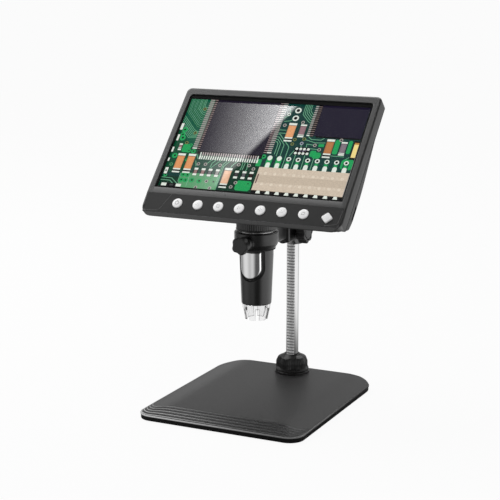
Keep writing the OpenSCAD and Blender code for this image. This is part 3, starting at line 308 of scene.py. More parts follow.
def slot_finishes(look):
    """One material for each material slot of the record, from a table of the slot's name, the function
    that makes it and what that function is told."""
    rows = [
        ("base_plastic", moulded, look.base_colour, 0.42, 0.45, 0.01, 0.42),
        # the housing's side walls get painted shade beyond HALF_WIDTH - 0.9 mm
        ("housing_plastic", moulded, look.housing_colour, 0.3, 0.35, 0.006, 0.9, 0.0, HALF_WIDTH - 0.9),
        ("key_plastic", moulded, look.key_colour, 0.4, 0.35, 0.006, 0.35),
        ("tube_plastic", moulded, look.tube_colour, 0.3, 0.6, 0.004, 0.5, 0.15),
        ("black_metal", moulded, look.metal_colour, 0.34, 0.3, 0.008, 0.5, 0.1),
        ("knob_plastic", moulded, look.knob_colour, 0.5, 0.5, 0.03, 0.45),
        ("chrome", metal, grey(0.86), 0.13),
        ("steel", metal, grey(0.55), 0.32, 0.2, 0.004),
        ("ballast_steel", metal, grey(0.32), 0.5, 0.6, 0.02),
        ("rubber", moulded, grey(0.018), 0.8, 0.4, 0.03, 0.3),
        ("nylon", moulded, grey(0.72, 0.02), 0.45, 0.6, 0.008),
        ("window", clear, grey(1.0), 0.0, 1.02),
        ("display", moulded, grey(0.006), 0.35, 0.5, 0.002, 0.3),
        ("circuit_board", board_finish),
        ("battery", wrap_finish),
        ("button_white", moulded, grey(0.93), 0.32, 0.5, 0.004, 0.8, 0.3),
        ("clear_plastic", clear, grey(0.93), 0.03, 1.45, 0.05),
        ("lens_glass", clear, grey(1.0), 0.01, 1.6),
        ("lamp", lamp_finish),
        ("ribbon", moulded, (0.42, 0.24, 0.07, 1), 0.4, 0.8, 0.01),
    ]
    return {name: make(name, *told) for name, make, *told in rows}


FINISHES = {}


# ---------- surfaces ----------


def rounded(before, corner, after, radius, steps):
    """The arc that replaces a corner, tangent to both its lines: with the corner's angle w, it starts
    radius / tan(w / 2) before the corner, and it turns round a centre on the bisector."""
    to_before = (before - corner) / np.linalg.norm(before - corner)
    to_after = (after - corner) / np.linalg.norm(after - corner)
    angle = math.acos(float(np.clip(to_before @ to_after, -1, 1)))
    if radius <= 0 or angle > math.pi - 1e-6:
        return np.repeat(corner[None], steps + 1, 0)
    start = corner + to_before * radius / math.tan(angle / 2)
    end = corner + to_after * radius / math.tan(angle / 2)
    bisector = to_before + to_after
    centre = corner + bisector / np.linalg.norm(bisector) * radius / math.sin(angle / 2)
    sweep = math.pi - angle
    share = np.linspace(0, 1, steps + 1)[:, None]
    arc = np.sin((1 - share) * sweep) * (start - centre) + np.sin(share * sweep) * (end - centre)
    return centre + arc / math.sin(sweep)


def path(corners, steps=6):
    """An open line through corners (x, y, radius) with each inner corner rounded."""
    points = np.array([corner[:2] for corner in corners], float)
    middle = [rounded(points[i - 1], points[i], points[i + 1], corners[i][2], steps)
              for i in range(1, len(points) - 1)]
    return np.concatenate([points[:1], *middle, points[-1:]])


def outline(corners, steps=8, shares=(0.5,)):
    """A closed line through corners (x, y, radius), each rounded. Each straight run between two corners
    is divided at the shares, or run i at shares[i] where shares is a list of lists."""
    points = np.array([corner[:2] for corner in corners], float)
    count = len(points)
    arcs = [rounded(points[i - 1], points[i], points[(i + 1) % count], corners[i][2], steps)
            for i in range(count)]
    parts = []
    for i in range(count):
        cut = np.array(shares[i] if isinstance(shares[0], (list, np.ndarray)) else shares)[:, None]
        parts += [arcs[i], arcs[i][-1] * (1 - cut) + arcs[(i + 1) % count][0] * cut]
    return np.concatenate(parts)


def box_corners(x0, x1, y0, y1, radius_up, radius_down):
    """The four corners of an upright rectangle, anticlockwise from the upper right one."""
    return [(x1, y1, radius_up), (x0, y1, radius_up), (x0, y0, radius_down), (x1, y0, radius_down)]


def at_height(line, height):
    """A flat closed line as points in space, at one height or at a height for each point."""
    return np.column_stack([line, np.broadcast_to(height, len(line))])


def turned(profile, count=96, grow=None):
    """A profile of (radius, height) turned about Z: the point at angle a is
    (k r cos a, k r sin a, z), where k = grow(a, z, r) lets the radius vary."""
    a = np.linspace(0, 2 * np.pi, count, endpoint=False)[None, :]
    r, z = profile[:, :1], profile[:, 1:]
    k = grow(a, z, r) if grow else 1.0
    return np.stack([k * r * np.cos(a), k * r * np.sin(a), z + 0 * a], -1)


def capped(rings):
    """Rings of points with a middle point added before the first and after the last, to close both ends."""
    first, last = rings[:1].mean(1, keepdims=True), rings[-1:].mean(1, keepdims=True)
    return np.concatenate([np.broadcast_to(first, rings[:1].shape), rings,
                           np.broadcast_to(last, rings[-1:].shape)])


def to_x(points, origin):
    """Turns +Z into +X about an origin, so that a turned form lies along X."""
    return np.stack([points[..., 2], points[..., 0], points[..., 1]], -1) + origin


def to_front(points, origin):
    """Turns +Z into -Y about an origin, so that a turned form faces the front."""
    return np.stack([points[..., 0], -points[..., 2], points[..., 1]], -1) + origin


def on_screen(points):
    """From the screen unit's own x to the right, y up the screen and z out of it, to the frame."""
    return (SCREEN_MIDDLE + points[..., :1] * SCREEN_RIGHT + points[..., 1:2] * SCREEN_UP
            + points[..., 2:] * SCREEN_OUT)


def sleeve(profile, count, y, grow=None):
    """A closed profile turned about an upright line at y, as a grid that closes on itself both ways."""
    return turned(profile, count, grow) + (0, y, 0), True, True


def quads(rows, columns, round_rows, round_columns):
    """The four point numbers of every cell of a grid, which may close on itself either way."""
    row = np.arange(rows if round_rows else rows - 1)[:, None]
    column = np.arange(columns if round_columns else columns - 1)[None, :]
    row_next, column_next = (row + 1) % rows, (column + 1) % columns
    cells = [row * columns + column, row * columns + column_next,
             row_next * columns + column_next, row_next * columns + column]
    return np.stack(cells, -1).reshape(-1, 4)


def mesh_of(name, points, faces):
    """A mesh from points in millimetres."""
    mesh = bpy.data.meshes.new(name)
    mesh.from_pydata((points * MM).tolist(), [], faces.tolist())
    return mesh


def placed(name, data):
    """A new object in the scene."""
    made = bpy.data.objects.new(name, data)
    bpy.context.scene.collection.objects.link(made)
    return made


def piece(name, grids, slot, body, stands_for=(), crease=30.0, finish=None):
    """One mesh from grids of points in millimetres. A grid is an array of rows that each close on
    themselves, or (array, round_rows, round_columns)."""
    points, faces, start = [], [], 0
    for grid in grids:
        array, round_rows, round_columns = grid if isinstance(grid, tuple) else (grid, False, True)
        rows, columns = array.shape[:2]
        points.append(array.reshape(-1, 3))
        faces.append(quads(rows, columns, round_rows, round_columns) + start)
        start += rows * columns
    mesh = mesh_of(name, np.concatenate(points), np.concatenate(faces))
    work = bmesh.new()
    work.from_mesh(mesh)
    bmesh.ops.remove_doubles(work, verts=work.verts, dist=0.002 * MM)
    bmesh.ops.recalc_face_normals(work, faces=work.faces)
    work.to_mesh(mesh)
    work.free()
    mesh.polygons.foreach_set("use_smooth", np.ones(len(mesh.polygons), bool))
    mesh.set_sharp_from_angle(angle=math.radians(crease))
    mesh.materials.append(finish or FINISHES[slot])
    made = placed(name, mesh)
    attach(made, body)
    if stands_for:
        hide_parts(*stands_for)
    return made


def cut(made, cutters):
    """Takes closed forms out of a piece with an exact Boolean, and leaves no cutter behind."""
    tool = piece("cutter", cutters, "rubber", "base")
    modifier = made.modifiers.new("openings", "BOOLEAN")
    modifier.operation = "DIFFERENCE"
    modifier.solver = "EXACT"
    modifier.object = tool
    bpy.context.view_layer.update()
    result = bpy.data.meshes.new_from_object(made.evaluated_get(bpy.context.evaluated_depsgraph_get()))
    made.modifiers.clear()
    result.materials.clear()
    result.materials.append(made.data.materials[0])
    made.data = result
    result.set_sharp_from_angle(angle=math.radians(30.0))
    bpy.data.objects.remove(tool)


# ---------- sizes and colours ----------


def colour(name, description, level):
    """A grey that can be changed in the sidebar."""
    return bpy.props.FloatVectorProperty(name=name, description=description, subtype="COLOR", size=4,
                                         default=grey(level), min=0, max=1)


class MicroscopeLook(bpy.types.PropertyGroup):
    """Sizes and colours of the finished surfaces."""

    base_colour: colour("Base colour", "Plastic of the base plate", 0.034)
    housing_colour: colour("Housing colour", "Plastic of the screen unit's housing", 0.03)
    key_colour: colour("Key panel colour", "Plastic round the buttons", 0.03)
    tube_colour: colour("Tube colour", "Plastic of the camera tube and lock nut", 0.008)
    metal_colour: colour("Holder colour", "Black coat of the ring, carriage and socket", 0.009)
    knob_colour: colour("Knob colour", "Grained plastic of the knobs", 0.024)
    ridge_depth: bpy.props.FloatProperty(
        name="Ridge step", description="Share of the front slope that its ridges take as steps",
        default=0.8, min=0, max=1, subtype="FACTOR")
    edge_radius: bpy.props.FloatProperty(
        name="Housing edge", description="Rounding of the screen unit's front edge, in millimetres",
        default=1.3, min=0.3, max=2.0)
    camera_turn: bpy.props.FloatProperty(
        name="Camera turn", description="Camera's turn to the right of the front",
        default=math.radians(25.64), subtype="ANGLE", unit="ROTATION")
    camera_rise: bpy.props.FloatProperty(
        name="Camera rise", description="Camera's angle above the level",
        default=math.radians(12.02), subtype="ANGLE", unit="ROTATION")
    lamp_power: bpy.props.FloatProperty(
        name="Softbox power", description="Power of the overhead softbox in watts",
        default=6.8, min=0, unit="POWER")


class MicroscopeOperator(bpy.types.Operator):
    """What the building steps share."""

    bl_options = {"REGISTER", "UNDO"}

    def execute(self, context):
        self.build(context.scene.microscope_look)
        return {"FINISHED"}


# ---------- studio ----------


class MICROSCOPE_OT_studio(MicroscopeOperator):
    """Camera, pale floor, surroundings and one soft lamp"""

    bl_idname = "microscope.studio"
    bl_label = "Studio"

    camera_place, camera_roll, camera_lens = (0.45106, -0.95739, 0.34765), -0.05, 101.95
    lamp_place, lamp_turn, lamp_size = (-0.619, 0.09, 1.0), -43.6, 0.72
    ahead, aside = (0.4327, -0.9015, 0), (0.9015, 0.4327, 0)
    room = [(-150, -122, -0.7), (-116, -80, 0.55), (-70, -45, -0.25), (-42, -32, 0.12),
            (-27, -3, -0.62), (16, 48, 1.5), (105, 130, -0.65)]
    panel_edge, panel_ramp, panel_gain, panel_most = (
        (0.6797, -0.7137, 0.1692), (0.8836, -0.3061, 0.3542), 730, 3.1)
    ceiling, side_glow, fill, paper_white = 0.055, 3.0, 0.62, 0.965
    floor_near, floor_white = 0.06, 1.035

    def build(self, look):
        scene = bpy.context.scene
        scene.view_settings.view_transform = "Standard"
        self.make_camera(scene, look)
        self.make_floor()
        self.make_surroundings(scene)
        self.make_lamp(look)

    def make_camera(self, scene, look):
        camera = placed("camera", bpy.data.cameras.new("camera"))
        camera.location = self.camera_place
        camera.rotation_euler = (math.pi / 2 - look.camera_rise, math.radians(self.camera_roll),
                                 look.camera_turn)
        camera.data.lens = self.camera_lens
        camera.data.sensor_width = 36.0
        camera.data.clip_start = 0.05
        scene.camera = camera

    def around(self, finish, place):
        """Brightness of the room at each angle round the camera's direction, in degrees to its right: a
        start value plus a list of smooth steps."""
        turn = (finish.dot(place, self.aside).math("ARCTAN2", finish.dot(place, self.ahead))
                * math.degrees(1))
        total = 1.0
        for low, high, change in self.room:
            total = total + turn.fade(low, high) * change
        return total

    def make_floor(self):
        """A level disc, white for the camera, that keeps a faint shadow; reflections see the room's
        tones on it, darker close to the object."""
        count, radii = 96, [0.0, 300.0, 2600.0]
        rings = turned(np.array([[radius, 0.0] for radius in radii]), count)
        finish = Finish("studio_floor")
        shown, glossy = finish.rays()
        place = finish.place()
        away = finish.add("VectorMath", {"operation": "LENGTH"}, {0: place}, "Value")
        near = away.fade(0.07, 0.3)
        tones = self.floor_near + near * (self.around(finish, place) - self.floor_near)
        level = shown * self.floor_white + glossy * tones
        tone = finish.mix(finish.noise(0.004, 2.0), grey(0.69), grey(0.71))
        paper = finish.add("BsdfDiffuse", None, {"Color": tone})
        bright = finish.add("Emission", None, {"Color": grey(self.paper_white), "Strength": level})
        share = (shown * 0.94 + glossy).math("MINIMUM", 1.0)
        mixed = finish.add("MixShader", None, {0: share, 1: paper, 2: bright})
        finish.add("OutputMaterial", None, {"Surface": mixed})
        finish.material.cycles.emission_sampling = "NONE"
        mesh = mesh_of("floor", rings.reshape(-1, 3), quads(len(radii), count, False, True))
        mesh.materials.append(finish.material)
        floor = placed("floor", mesh)

    def make_surroundings(self, scene):
        """White for the camera. Reflections see the room's tones low down, a dim ceiling, and on it a
        large panel that brightens towards its straight right-hand edge."""
        world = bpy.data.worlds.new("studio")
        scene.world = world
        world.cycles.sampling_method = "NONE"
        finish = Finish("studio", world)
        place = finish.add("TexCoord", out="Generated")
        height = finish.add("SeparateXYZ", None, {0: place}, "Z")
        edge = finish.dot(place, self.panel_edge)
        ramp = finish.dot(place, self.panel_ramp) + 0.05
        panel = ramp.math("MAXIMUM", 0.0).math("POWER", 2.0) * self.panel_gain
        panel = panel.math("MINIMUM", self.panel_most) * edge.fade(0.002, -0.002) * ramp.fade(0.35, 0.09)
        beside = edge + ramp * 0.5
        glow = beside.band(-0.75, -0.5, -0.14, -0.08) * self.side_glow
        low = self.around(finish, place) * (1 - height.fade(0.0, 0.5) * 0.8)
        high = (self.ceiling + panel + glow) * height.fade(0.5, 0.75)
        lit = low * (1 - height.fade(0.35, 0.65)) + high
        white, glossy = finish.rays()
        strength = (self.fill * (1 - glossy) + lit * glossy) * (1 - white) + white
        shown = finish.add("Background", None, {"Color": grey(self.paper_white), "Strength": strength})
        finish.add("OutputWorld", None, {"Surface": shown})

    def make_lamp(self, look):
        """One soft key light from the upper left. Its own shape is kept out of the reflections, where
        the room stands in for it."""
        data = bpy.data.lights.new("softbox", "AREA")
        data.shape = "SQUARE"
        data.size = self.lamp_size
        data.energy = look.lamp_power
        lamp = placed("softbox", data)
        lamp.location = self.lamp_place
        lamp.rotation_euler = (0, 0, math.radians(self.lamp_turn))
        lamp.visible_glossy = lamp.visible_transmission = False


class MICROSCOPE_OT_finishes(MicroscopeOperator):
    """A material for every slot, and one on every CAD node"""

    bl_idname = "microscope.finishes"
    bl_label = "Finishes"

    def build(self, look):
        FINISHES.update(slot_finishes(look))
        for row in frame["record"]["subparts"]:
            made = frame["nodes"][row["node"]]
            made.data.materials.clear()
            made.data.materials.append(FINISHES[row["material_slot"]])


# ---------- base ----------


class MICROSCOPE_OT_base(MicroscopeOperator):
    """Base plate with soft side slopes and a stepped front slope"""

    bl_idname = "microscope.base"
    bl_label = "Base plate"

    side_slope, front_slope, ridges = 25.0, 19.0, 5
    lip, foot, cover_top, skirt_draw, rim = 5.0, 0.8, 2.35, 0.5, 6.0
    front_radius, back_radius, bend = 12.0, 18.0, 12.0

    def build(self, look):
        self.half_width, self.half_depth, self.top = node_box("base_plate")[1]
        self.step_share = look.ridge_depth
        insets = np.concatenate([np.linspace(0.6, 22, 110), np.linspace(24, 60, 10)])
        rings = [self.ring(inset, None) for inset in insets[::-1]]
        edge = path([(0.6, self.lip + 0.3, 0), (0, self.lip + 0.05, 0.35), (0, self.lip - 0.75, 0.12),
                     (0.35, self.lip - 0.85, 0.1), (0.4, self.lip - 1.2, 0.2),
                     (self.skirt_draw, self.foot, 0.4), (self.rim, self.foot, 0.3),
                     (self.rim, self.cover_top, 0), (60, self.cover_top, 0)], 4)
        rings += [self.ring(inset, height) for inset, height in edge[1:]]
        piece("base_shell", [capped(np.array(rings))], "base_plastic", "base", ["base_plate"],
              finish=self.finish(look.base_colour))

    def finish(self, colour):
        """Satin moulding with painted light, not wear: painted highlights as light lines on the crests and
        the lip, strongest at the left end and near the lip; painted shade in the gaps between the ridges
        and on the wall under the lip; a painted shadow over the front slope that grows to the right; and
        the plate's tone painted a little lighter towards the right."""
        finish = Finish("ridged_base")
        x, y, z = finish.axes()
        grain, drift = finish.noise(2.2, 4.0), finish.noise(DRIFT, 3.0)
        curl = ((x.math("ABSOLUTE") - (self.half_width - self.bend)) / self.bend).math("MAXIMUM", 0.0)
        curl = 1 - (1 - (curl * curl).math("MINIMUM", 1.0)).math("SQRT")
        share = (y + self.half_depth - self.bend * curl) / (self.front_slope * (1 + 0.3 * curl))
        stair = (share.math("MINIMUM", 1.0).math("MAXIMUM", 0.0) * self.ridges).math("FRACT")
        inside = share.band(0.0, 0.02, 0.97, 0.985)
        # painted highlight: a light line along the crest of each ridge
        crest_highlight = stair.band(0.26, 0.36, 0.44, 0.56) * inside
        # painted shade in the gaps between the ridges
        gap_shade = stair.fade(0.7, 0.85) * inside
        left = x.fade(self.half_width, -self.half_width)
        # painted shade on the wall under the lip
        wall = z.fade(self.lip - 0.7, self.lip - 0.95)
        # the plate's tone painted lighter towards the right
        right = x.fade(-self.half_width, self.half_width)
        tone = finish.mix(right, shade(colour, 0.74), shade(colour, 0.8))
        tone = finish.mix(drift * 0.3, tone, shade(colour, 0.6))
        # painted shadow over the front slope, darker towards the right and near the front edge
        shadow = inside * x.fade(-40.0, self.half_width - 8) * (1 - share * 0.4)
        # the dark colour of the painted shade and shadow
        dark = grey(0.004)
        tone = finish.mix(shadow * 0.85, tone, dark)
        tone = finish.mix(gap_shade * 0.95, tone, dark)
        # painted highlight on the crests, strongest at the left end
        highlight_strength = crest_highlight * (0.06 + left * left * 0.94) * (1 - share * 0.75)
        tone = finish.mix(highlight_strength, tone, grey(0.75))
        tone = finish.mix(wall * 0.8, tone, dark)
        # painted highlight along the lip, strongest at the left and the front
        lip = z.band(self.lip - 0.75, self.lip - 0.5, self.lip + 0.2, self.lip + 0.45)
        lip = lip * (0.25 + left * 0.75) * y.fade(60.0, -60.0)
        tone = finish.mix(lip, tone, grey(0.6))
        gloss = 0.42 + grain.swing(0.08) - crest_highlight * 0.15
        return finish.surface(Base_Color=tone, Roughness=gloss, Specular_IOR_Level=0.42,
                              Normal=finish.bump(grain, 0.01))

    def ring(self, inset, height):
        """The plate's outline moved inwards, at one height or on the plate's top."""
        w, d = self.half_width - inset, self.half_depth - inset
        corners = box_corners(-w, w, -d, d, max(self.back_radius - inset, 0.6),
                              max(self.front_radius - inset, 0.6))
        even, fine = np.linspace(0, 1, 26)[1:-1], np.linspace(0, 0.3, 50)[1:]
        side = np.concatenate([fine, np.linspace(0.3, 1, 14)[1:-1]])
        line = outline(corners, 10, [even, 1 - side[::-1], even, side])
        return at_height(line, self.top_height(line) if height is None else height)

    def top_height(self, line):
        """Lip height plus the rise to the flat top, times a soft slope from each side, a stepped slope
        from the front and a short round at the back."""
        across = np.clip((self.half_width - np.abs(line[:, 0])) / self.side_slope, 0, 1)
        curl = np.clip((np.abs(line[:, 0]) - self.half_width + self.bend) / self.bend, 0, 1)
        curl = 1 - np.sqrt(1 - curl**2)
        share = (line[:, 1] + self.half_depth - self.bend * curl) / (self.front_slope * (1 + 0.3 * curl))
        share = np.clip(share, 0, 1)
        stair = share * self.ridges
        riser = np.clip((stair - np.floor(stair)) / 0.38, 0, 1)
        stairs = (np.floor(stair) + riser * riser * (3 - 2 * riser)) / self.ridges
        along = (1 - self.step_share) * self.soft(share) + self.step_share * np.minimum(stairs, 1)
        behind = np.clip((self.half_depth - line[:, 1]) / 2.0, 0, 1)
        behind = 0.6 + 0.4 * np.sqrt(1 - (1 - behind) ** 2)
        return self.lip + 0.3 + (self.top - self.lip - 0.3) * self.soft(across) * along * behind

    def soft(self, share):
        """A rise from 0 to 1: 0.6 sin + 0.2 (1 - cos) of the share."""
        return 0.6 * np.sin(np.pi / 2 * share) + 0.2 * (1 - np.cos(np.pi * share))


class MICROSCOPE_OT_lock_nut(MicroscopeOperator):
    """Lobed lock nut and the flange under it"""

    bl_idname = "microscope.lock_nut"
    bl_label = "Lock nut"

    lobes, ribs = 5, 56

    def build(self, look):
        low, high = node_box("post_lock_nut")
        self.low, self.high = low[2], high[2]
        bore, skirt = 5.4, 13.6
        profile = path([(bore, self.low, 0), (skirt, self.low, 0.3), (skirt, self.low + 1.2, 0.4),
                        (13.2, self.low + 2.2, 1.0), (13.2, self.low + 6.5, 2.5),
                        (11.4, self.low + 10.6, 3.0), (7.4, self.high - 0.9, 0.8),
                        (6.2, self.high, 0.4), (bore, self.high - 0.2, 0.2)], 6)
        piece("lock_nut_grip", [sleeve(profile, 720, POST_Y, self.grip)], "tube_plastic", "lock_nut",
              ["post_lock_nut"], finish=moulded("lock_nut", grey(0.01), 0.42, 0.4, 0.01, 0.5))
        flange_low, flange_high = 9.0, 11.0
        flange = path([(5.2, flange_low, 0), (14, flange_low, 0.2), (14, flange_high, 0.5),
                       (5.2, flange_high, 0.1)], 5)
        piece("nut_flange", [sleeve(flange, 128, POST_Y)], "black_metal", "base")

    def grip(self, angle, height, radius):
        """Radius factor: round hollows between the lobes, which fade towards the skirt and the cone's
        top, and fine upright ribs."""
        up = np.clip((height - self.low - 1.0) / 1.6, 0, 1)
        up = up * np.clip((self.high - 1.2 - height) / 3.5, 0, 1)
        wide = np.clip((radius - 6.5) / 4.0, 0, 1)
        wave = 0.5 - 0.5 * np.cos(self.lobes * (angle - math.radians(48)))
        return 1 - up * wide * (0.16 * wave**1.6 + 0.014 * (1 + np.cos(self.ribs * angle)))


class MICROSCOPE_OT_post(MicroscopeOperator):
    """Chrome post with a row of teeth down its front"""

    bl_idname = "microscope.post"
    bl_label = "Post"

    pitch, depth, root_share, mouth_share = 2.4, 0.7, 0.15, 0.27

    def build(self, look):
        low, high = node_box("post")
        radius = (high[0] - low[0]) / 2
        heights = np.arange(low[2], high[2] + 0.01, 0.15)
        heights[-1] = high[2]
        angle = np.linspace(0, 2 * np.pi, 180, endpoint=False)[None, :]
        x, y = radius * np.sin(angle), -radius * np.cos(angle)
        self.pinion_z = middle_of("pinion", 2)
        into = self.groove(heights[:, None])
        front = np.maximum(y, -radius + into)
        grid = np.stack([x + 0 * front, front, heights[:, None] + 0 * front], -1)
        piece("toothed_post", [capped(grid + (0, POST_Y, 0))], "chrome", "post", ["post"], 40.0,
              self.finish(radius))
        cap_low, cap_high = node_box("post_cap")
        cap = path([(0, cap_low[2], 0), (radius, cap_low[2], 0.3), (radius, cap_high[2], 1.2),
                    (0, cap_high[2], 0)], 6)
        piece("post_cap_round", [turned(cap, 96) + (0, POST_Y, 0)], "knob_plastic", "post", ["post_cap"])

    def finish(self, radius):
        """Chrome, with the milled teeth satin, their crests painted light as a highlight and the gaps
        between them painted dark as shade.
        """
        finish = Finish("toothed_chrome")
        depth, height = finish.axes()[1:]
        away = (height - self.pinion_z).math("PINGPONG", self.pitch / 2)
        front = depth.fade(POST_Y - radius + 1.5, POST_Y - radius + 1.1)
        # painted highlight on the tooth crests
        crest_highlight = away.fade(0.1 * self.pitch, 0.24 * self.pitch)
        smudge = finish.noise(SMUDGE, 4.0)
        plain = finish.mix(smudge, grey(0.5), grey(0.56))
        # tooth crests painted light as a highlight, the gaps between them painted dark as shade
        teeth_light_and_shade = finish.mix(crest_highlight, grey(0.26), grey(0.92))
        return finish.surface(Base_Color=finish.mix(front, plain, teeth_light_and_shade),
                              Metallic=1 - front * 0.75, Roughness=0.13 + smudge * 0.06 + front * 0.25,
                              Normal=finish.bump(finish.noise(8.0, 3.0, (1, 1, 0.05)), 0.002))

    def groove(self, height):
        """Depth of the teeth's gaps at each height: full at a gap's middle, none on a tooth."""
        away = (height - self.pinion_z + self.pitch / 2) % self.pitch - self.pitch / 2
        away = np.abs(away) / self.pitch
        share = np.clip((self.mouth_share - away) / (self.mouth_share - self.root_share), 0, 1)
        inside = (height > 25.5) & (height < node_box("post")[1][2] - 3)
        return self.depth * share * inside


# ---------- carriage, ring and knobs ----------


def lobed(lobes, depth, phase=0.0, sharp=1.5):
    """A radius factor with round hollows between its lobes."""
    def factor(angle, height, radius):
        hollow = (0.5 - 0.5 * np.cos(lobes * angle + phase)) ** sharp
        return 1 - depth * hollow * np.clip(radius / 4 - 1, 0, 1)
    return factor


class MICROSCOPE_OT_carriage(MicroscopeOperator):
    """Lift carriage on the post, and its height knob"""

    bl_idname = "microscope.carriage"
    bl_label = "Lift carriage"

    def build(self, look):
        low, high = node_box("lift_carriage")
        self.low, self.high, self.front = low[2], high[2], low[1]
        half, barrel = 7.5, high[0]
        corners = [(half, self.front, 2.2), (half, POST_Y - 6.5, 2.5), (barrel, POST_Y - 2.5, 2.5),
                   (barrel, POST_Y + barrel, barrel - 0.1), (-barrel, POST_Y + barrel, barrel - 0.1),
                   (-barrel, POST_Y - 2.5, 2.5), (-half, POST_Y - 6.5, 2.5), (-half, self.front, 2.2)]
        edge = path([(6.0, 0, 0), (0.0, 0, 1.0), (0.0, 6.0, 0)], 5)[1:-1]
        steps = [(4.5, 0), (3.0, 0), (1.8, 0), *edge]
        rings = [self.ring(corners, inset, drop, self.top) for inset, drop in steps]
        rings += [self.ring(corners, inset, -drop, self.bottom) for inset, drop in steps[::-1]]
        piece("carriage_body", [capped(np.array(rings))], "black_metal", "carriage", ["lift_carriage"])
        self.build_knob()

    def ring(self, corners, inset, drop, height):
        """The plan drawn in towards its middle point, on the top or bottom face."""
        line = outline(corners, 8, (0.25, 0.5, 0.75))
        half = np.abs(line[:, 0])
        middle = np.array([0.0, (self.front + POST_Y + 9.5) / 2])
        reach = line - middle
        length = np.linalg.norm(reach, axis=1, keepdims=True)
        moved = middle + reach * (1 - inset / np.maximum(length, half.max()))
        return at_height(moved, height(moved[:, 1]) - drop)

    def top(self, y):
        """Level, with a slope of 1.4 over the front 4 mm."""
        return self.high - 0.12 - 1.4 * np.clip(1 - (y - self.front) / 4.0, 0, 1)

    def bottom(self, y):
        """Level at the back, rising at 45 degrees towards the arm."""
        rise = 4.75
        return self.low + rise * np.clip((self.front + 9.9 + rise - y) / rise, 0, 1)

    def build_knob(self):
        low, high = node_box("height_knob")
        radius, thick = (high[2] - low[2]) / 2, high[0] - low[0]
        profile = path([(0, 0, 0), (radius - 3, 0, 0.3), (radius - 3, 1.2, 0), (radius, 1.2, 0.8),
                        (radius, thick, 1.2), (radius - 2.6, thick, 0.3), (radius - 2.9, thick - 0.8, 0.2),
                        (radius - 3.4, thick - 0.8, 0.2), (radius - 3.7, thick, 0.3), (0, thick, 0)], 4)
        middle = (0.0, (low[1] + high[1]) / 2, (low[2] + high[2]) / 2)
        grid = to_x(turned(profile, 240, lobed(7, 0.16)), np.array([low[0], *middle[1:]]))
        piece("height_knob_grip", [grid], "knob_plastic", "height_drive", ["height_knob"])


class MICROSCOPE_OT_ring(MicroscopeOperator):
    """Ring holder with its arm, boss and thumbscrew knob"""

    bl_idname = "microscope.ring"
    bl_label = "Ring holder"

    screw_z, arm_low, arm_high, arm_half = 131.75, 124.3, 136.8, 5.5

    def build(self, look):
        low, high = node_box("holder_liner")
        self.low, self.top = low[2], high[2] + 0.2
        bore, outer = 13.12, 17.0
        profile = path([(bore, self.low, 0), (13.9, self.low, 0.3), (16.4, self.low + 4.4, 3.0),
                        (outer, self.low + 8.0, 4.0), (outer, self.top, 0.9), (14.6, self.top, 0.3),
                        (bore, self.top - 0.3, 0.1)], 7)
        ring = sleeve(profile, 160, TUBE_Y)
        boss = path([(0, 12, 0), (6.4, 13.2, 0), (5.2, 16.6, 2.0), (5.0, 21.3, 0.7), (0, 21.3, 0)], 6)
        middle = np.array([0, TUBE_Y, self.screw_z])
        front, back = TUBE_Y + 15.0, node_box("lift_carriage")[0][1] + 1.0
        arm = np.stack([self.arm_section(y, front) for y in np.linspace(front, back, 14)])
        piece("ring_holder_body", [ring, to_front(turned(boss, 96), middle), capped(arm)],
              "black_metal", "carriage", ["holder_ring"])
        self.build_knob(middle)

    def arm_section(self, y, front):
        """A rounded bar that flares where it meets the ring."""
        wide = self.arm_half + 3.5 * max(0.0, 1 - (y - front) / 6.0) ** 2
        line = outline(box_corners(-wide, wide, self.arm_low, self.arm_high, 1.6, 1.6), 6)
        return np.column_stack([line[:, 0], np.full(len(line), y), line[:, 1]])

    def build_knob(self, middle):
        low, high = node_box("thumb_knob")
        radius, thick = (high[0] - low[0]) / 2, high[1] - low[1]
        profile = path([(0, 0, 0), (4.4, 0, 0.4), (4.6, 1.0, 0.2), (radius, 1.3, 1.0),
                        (radius, thick, 1.6), (4.4, thick, 0.8), (0, thick - 0.35, 0)], 5)
        grid = turned(profile, 200, lobed(5, 0.24, math.radians(20), 1.3))
        start = np.array([0, high[1], middle[2]])
        piece("thumb_knob_grip", [to_front(grid, start)], "knob_plastic", "thumbscrew", ["thumb_knob"])


# ---------- camera tube ----------


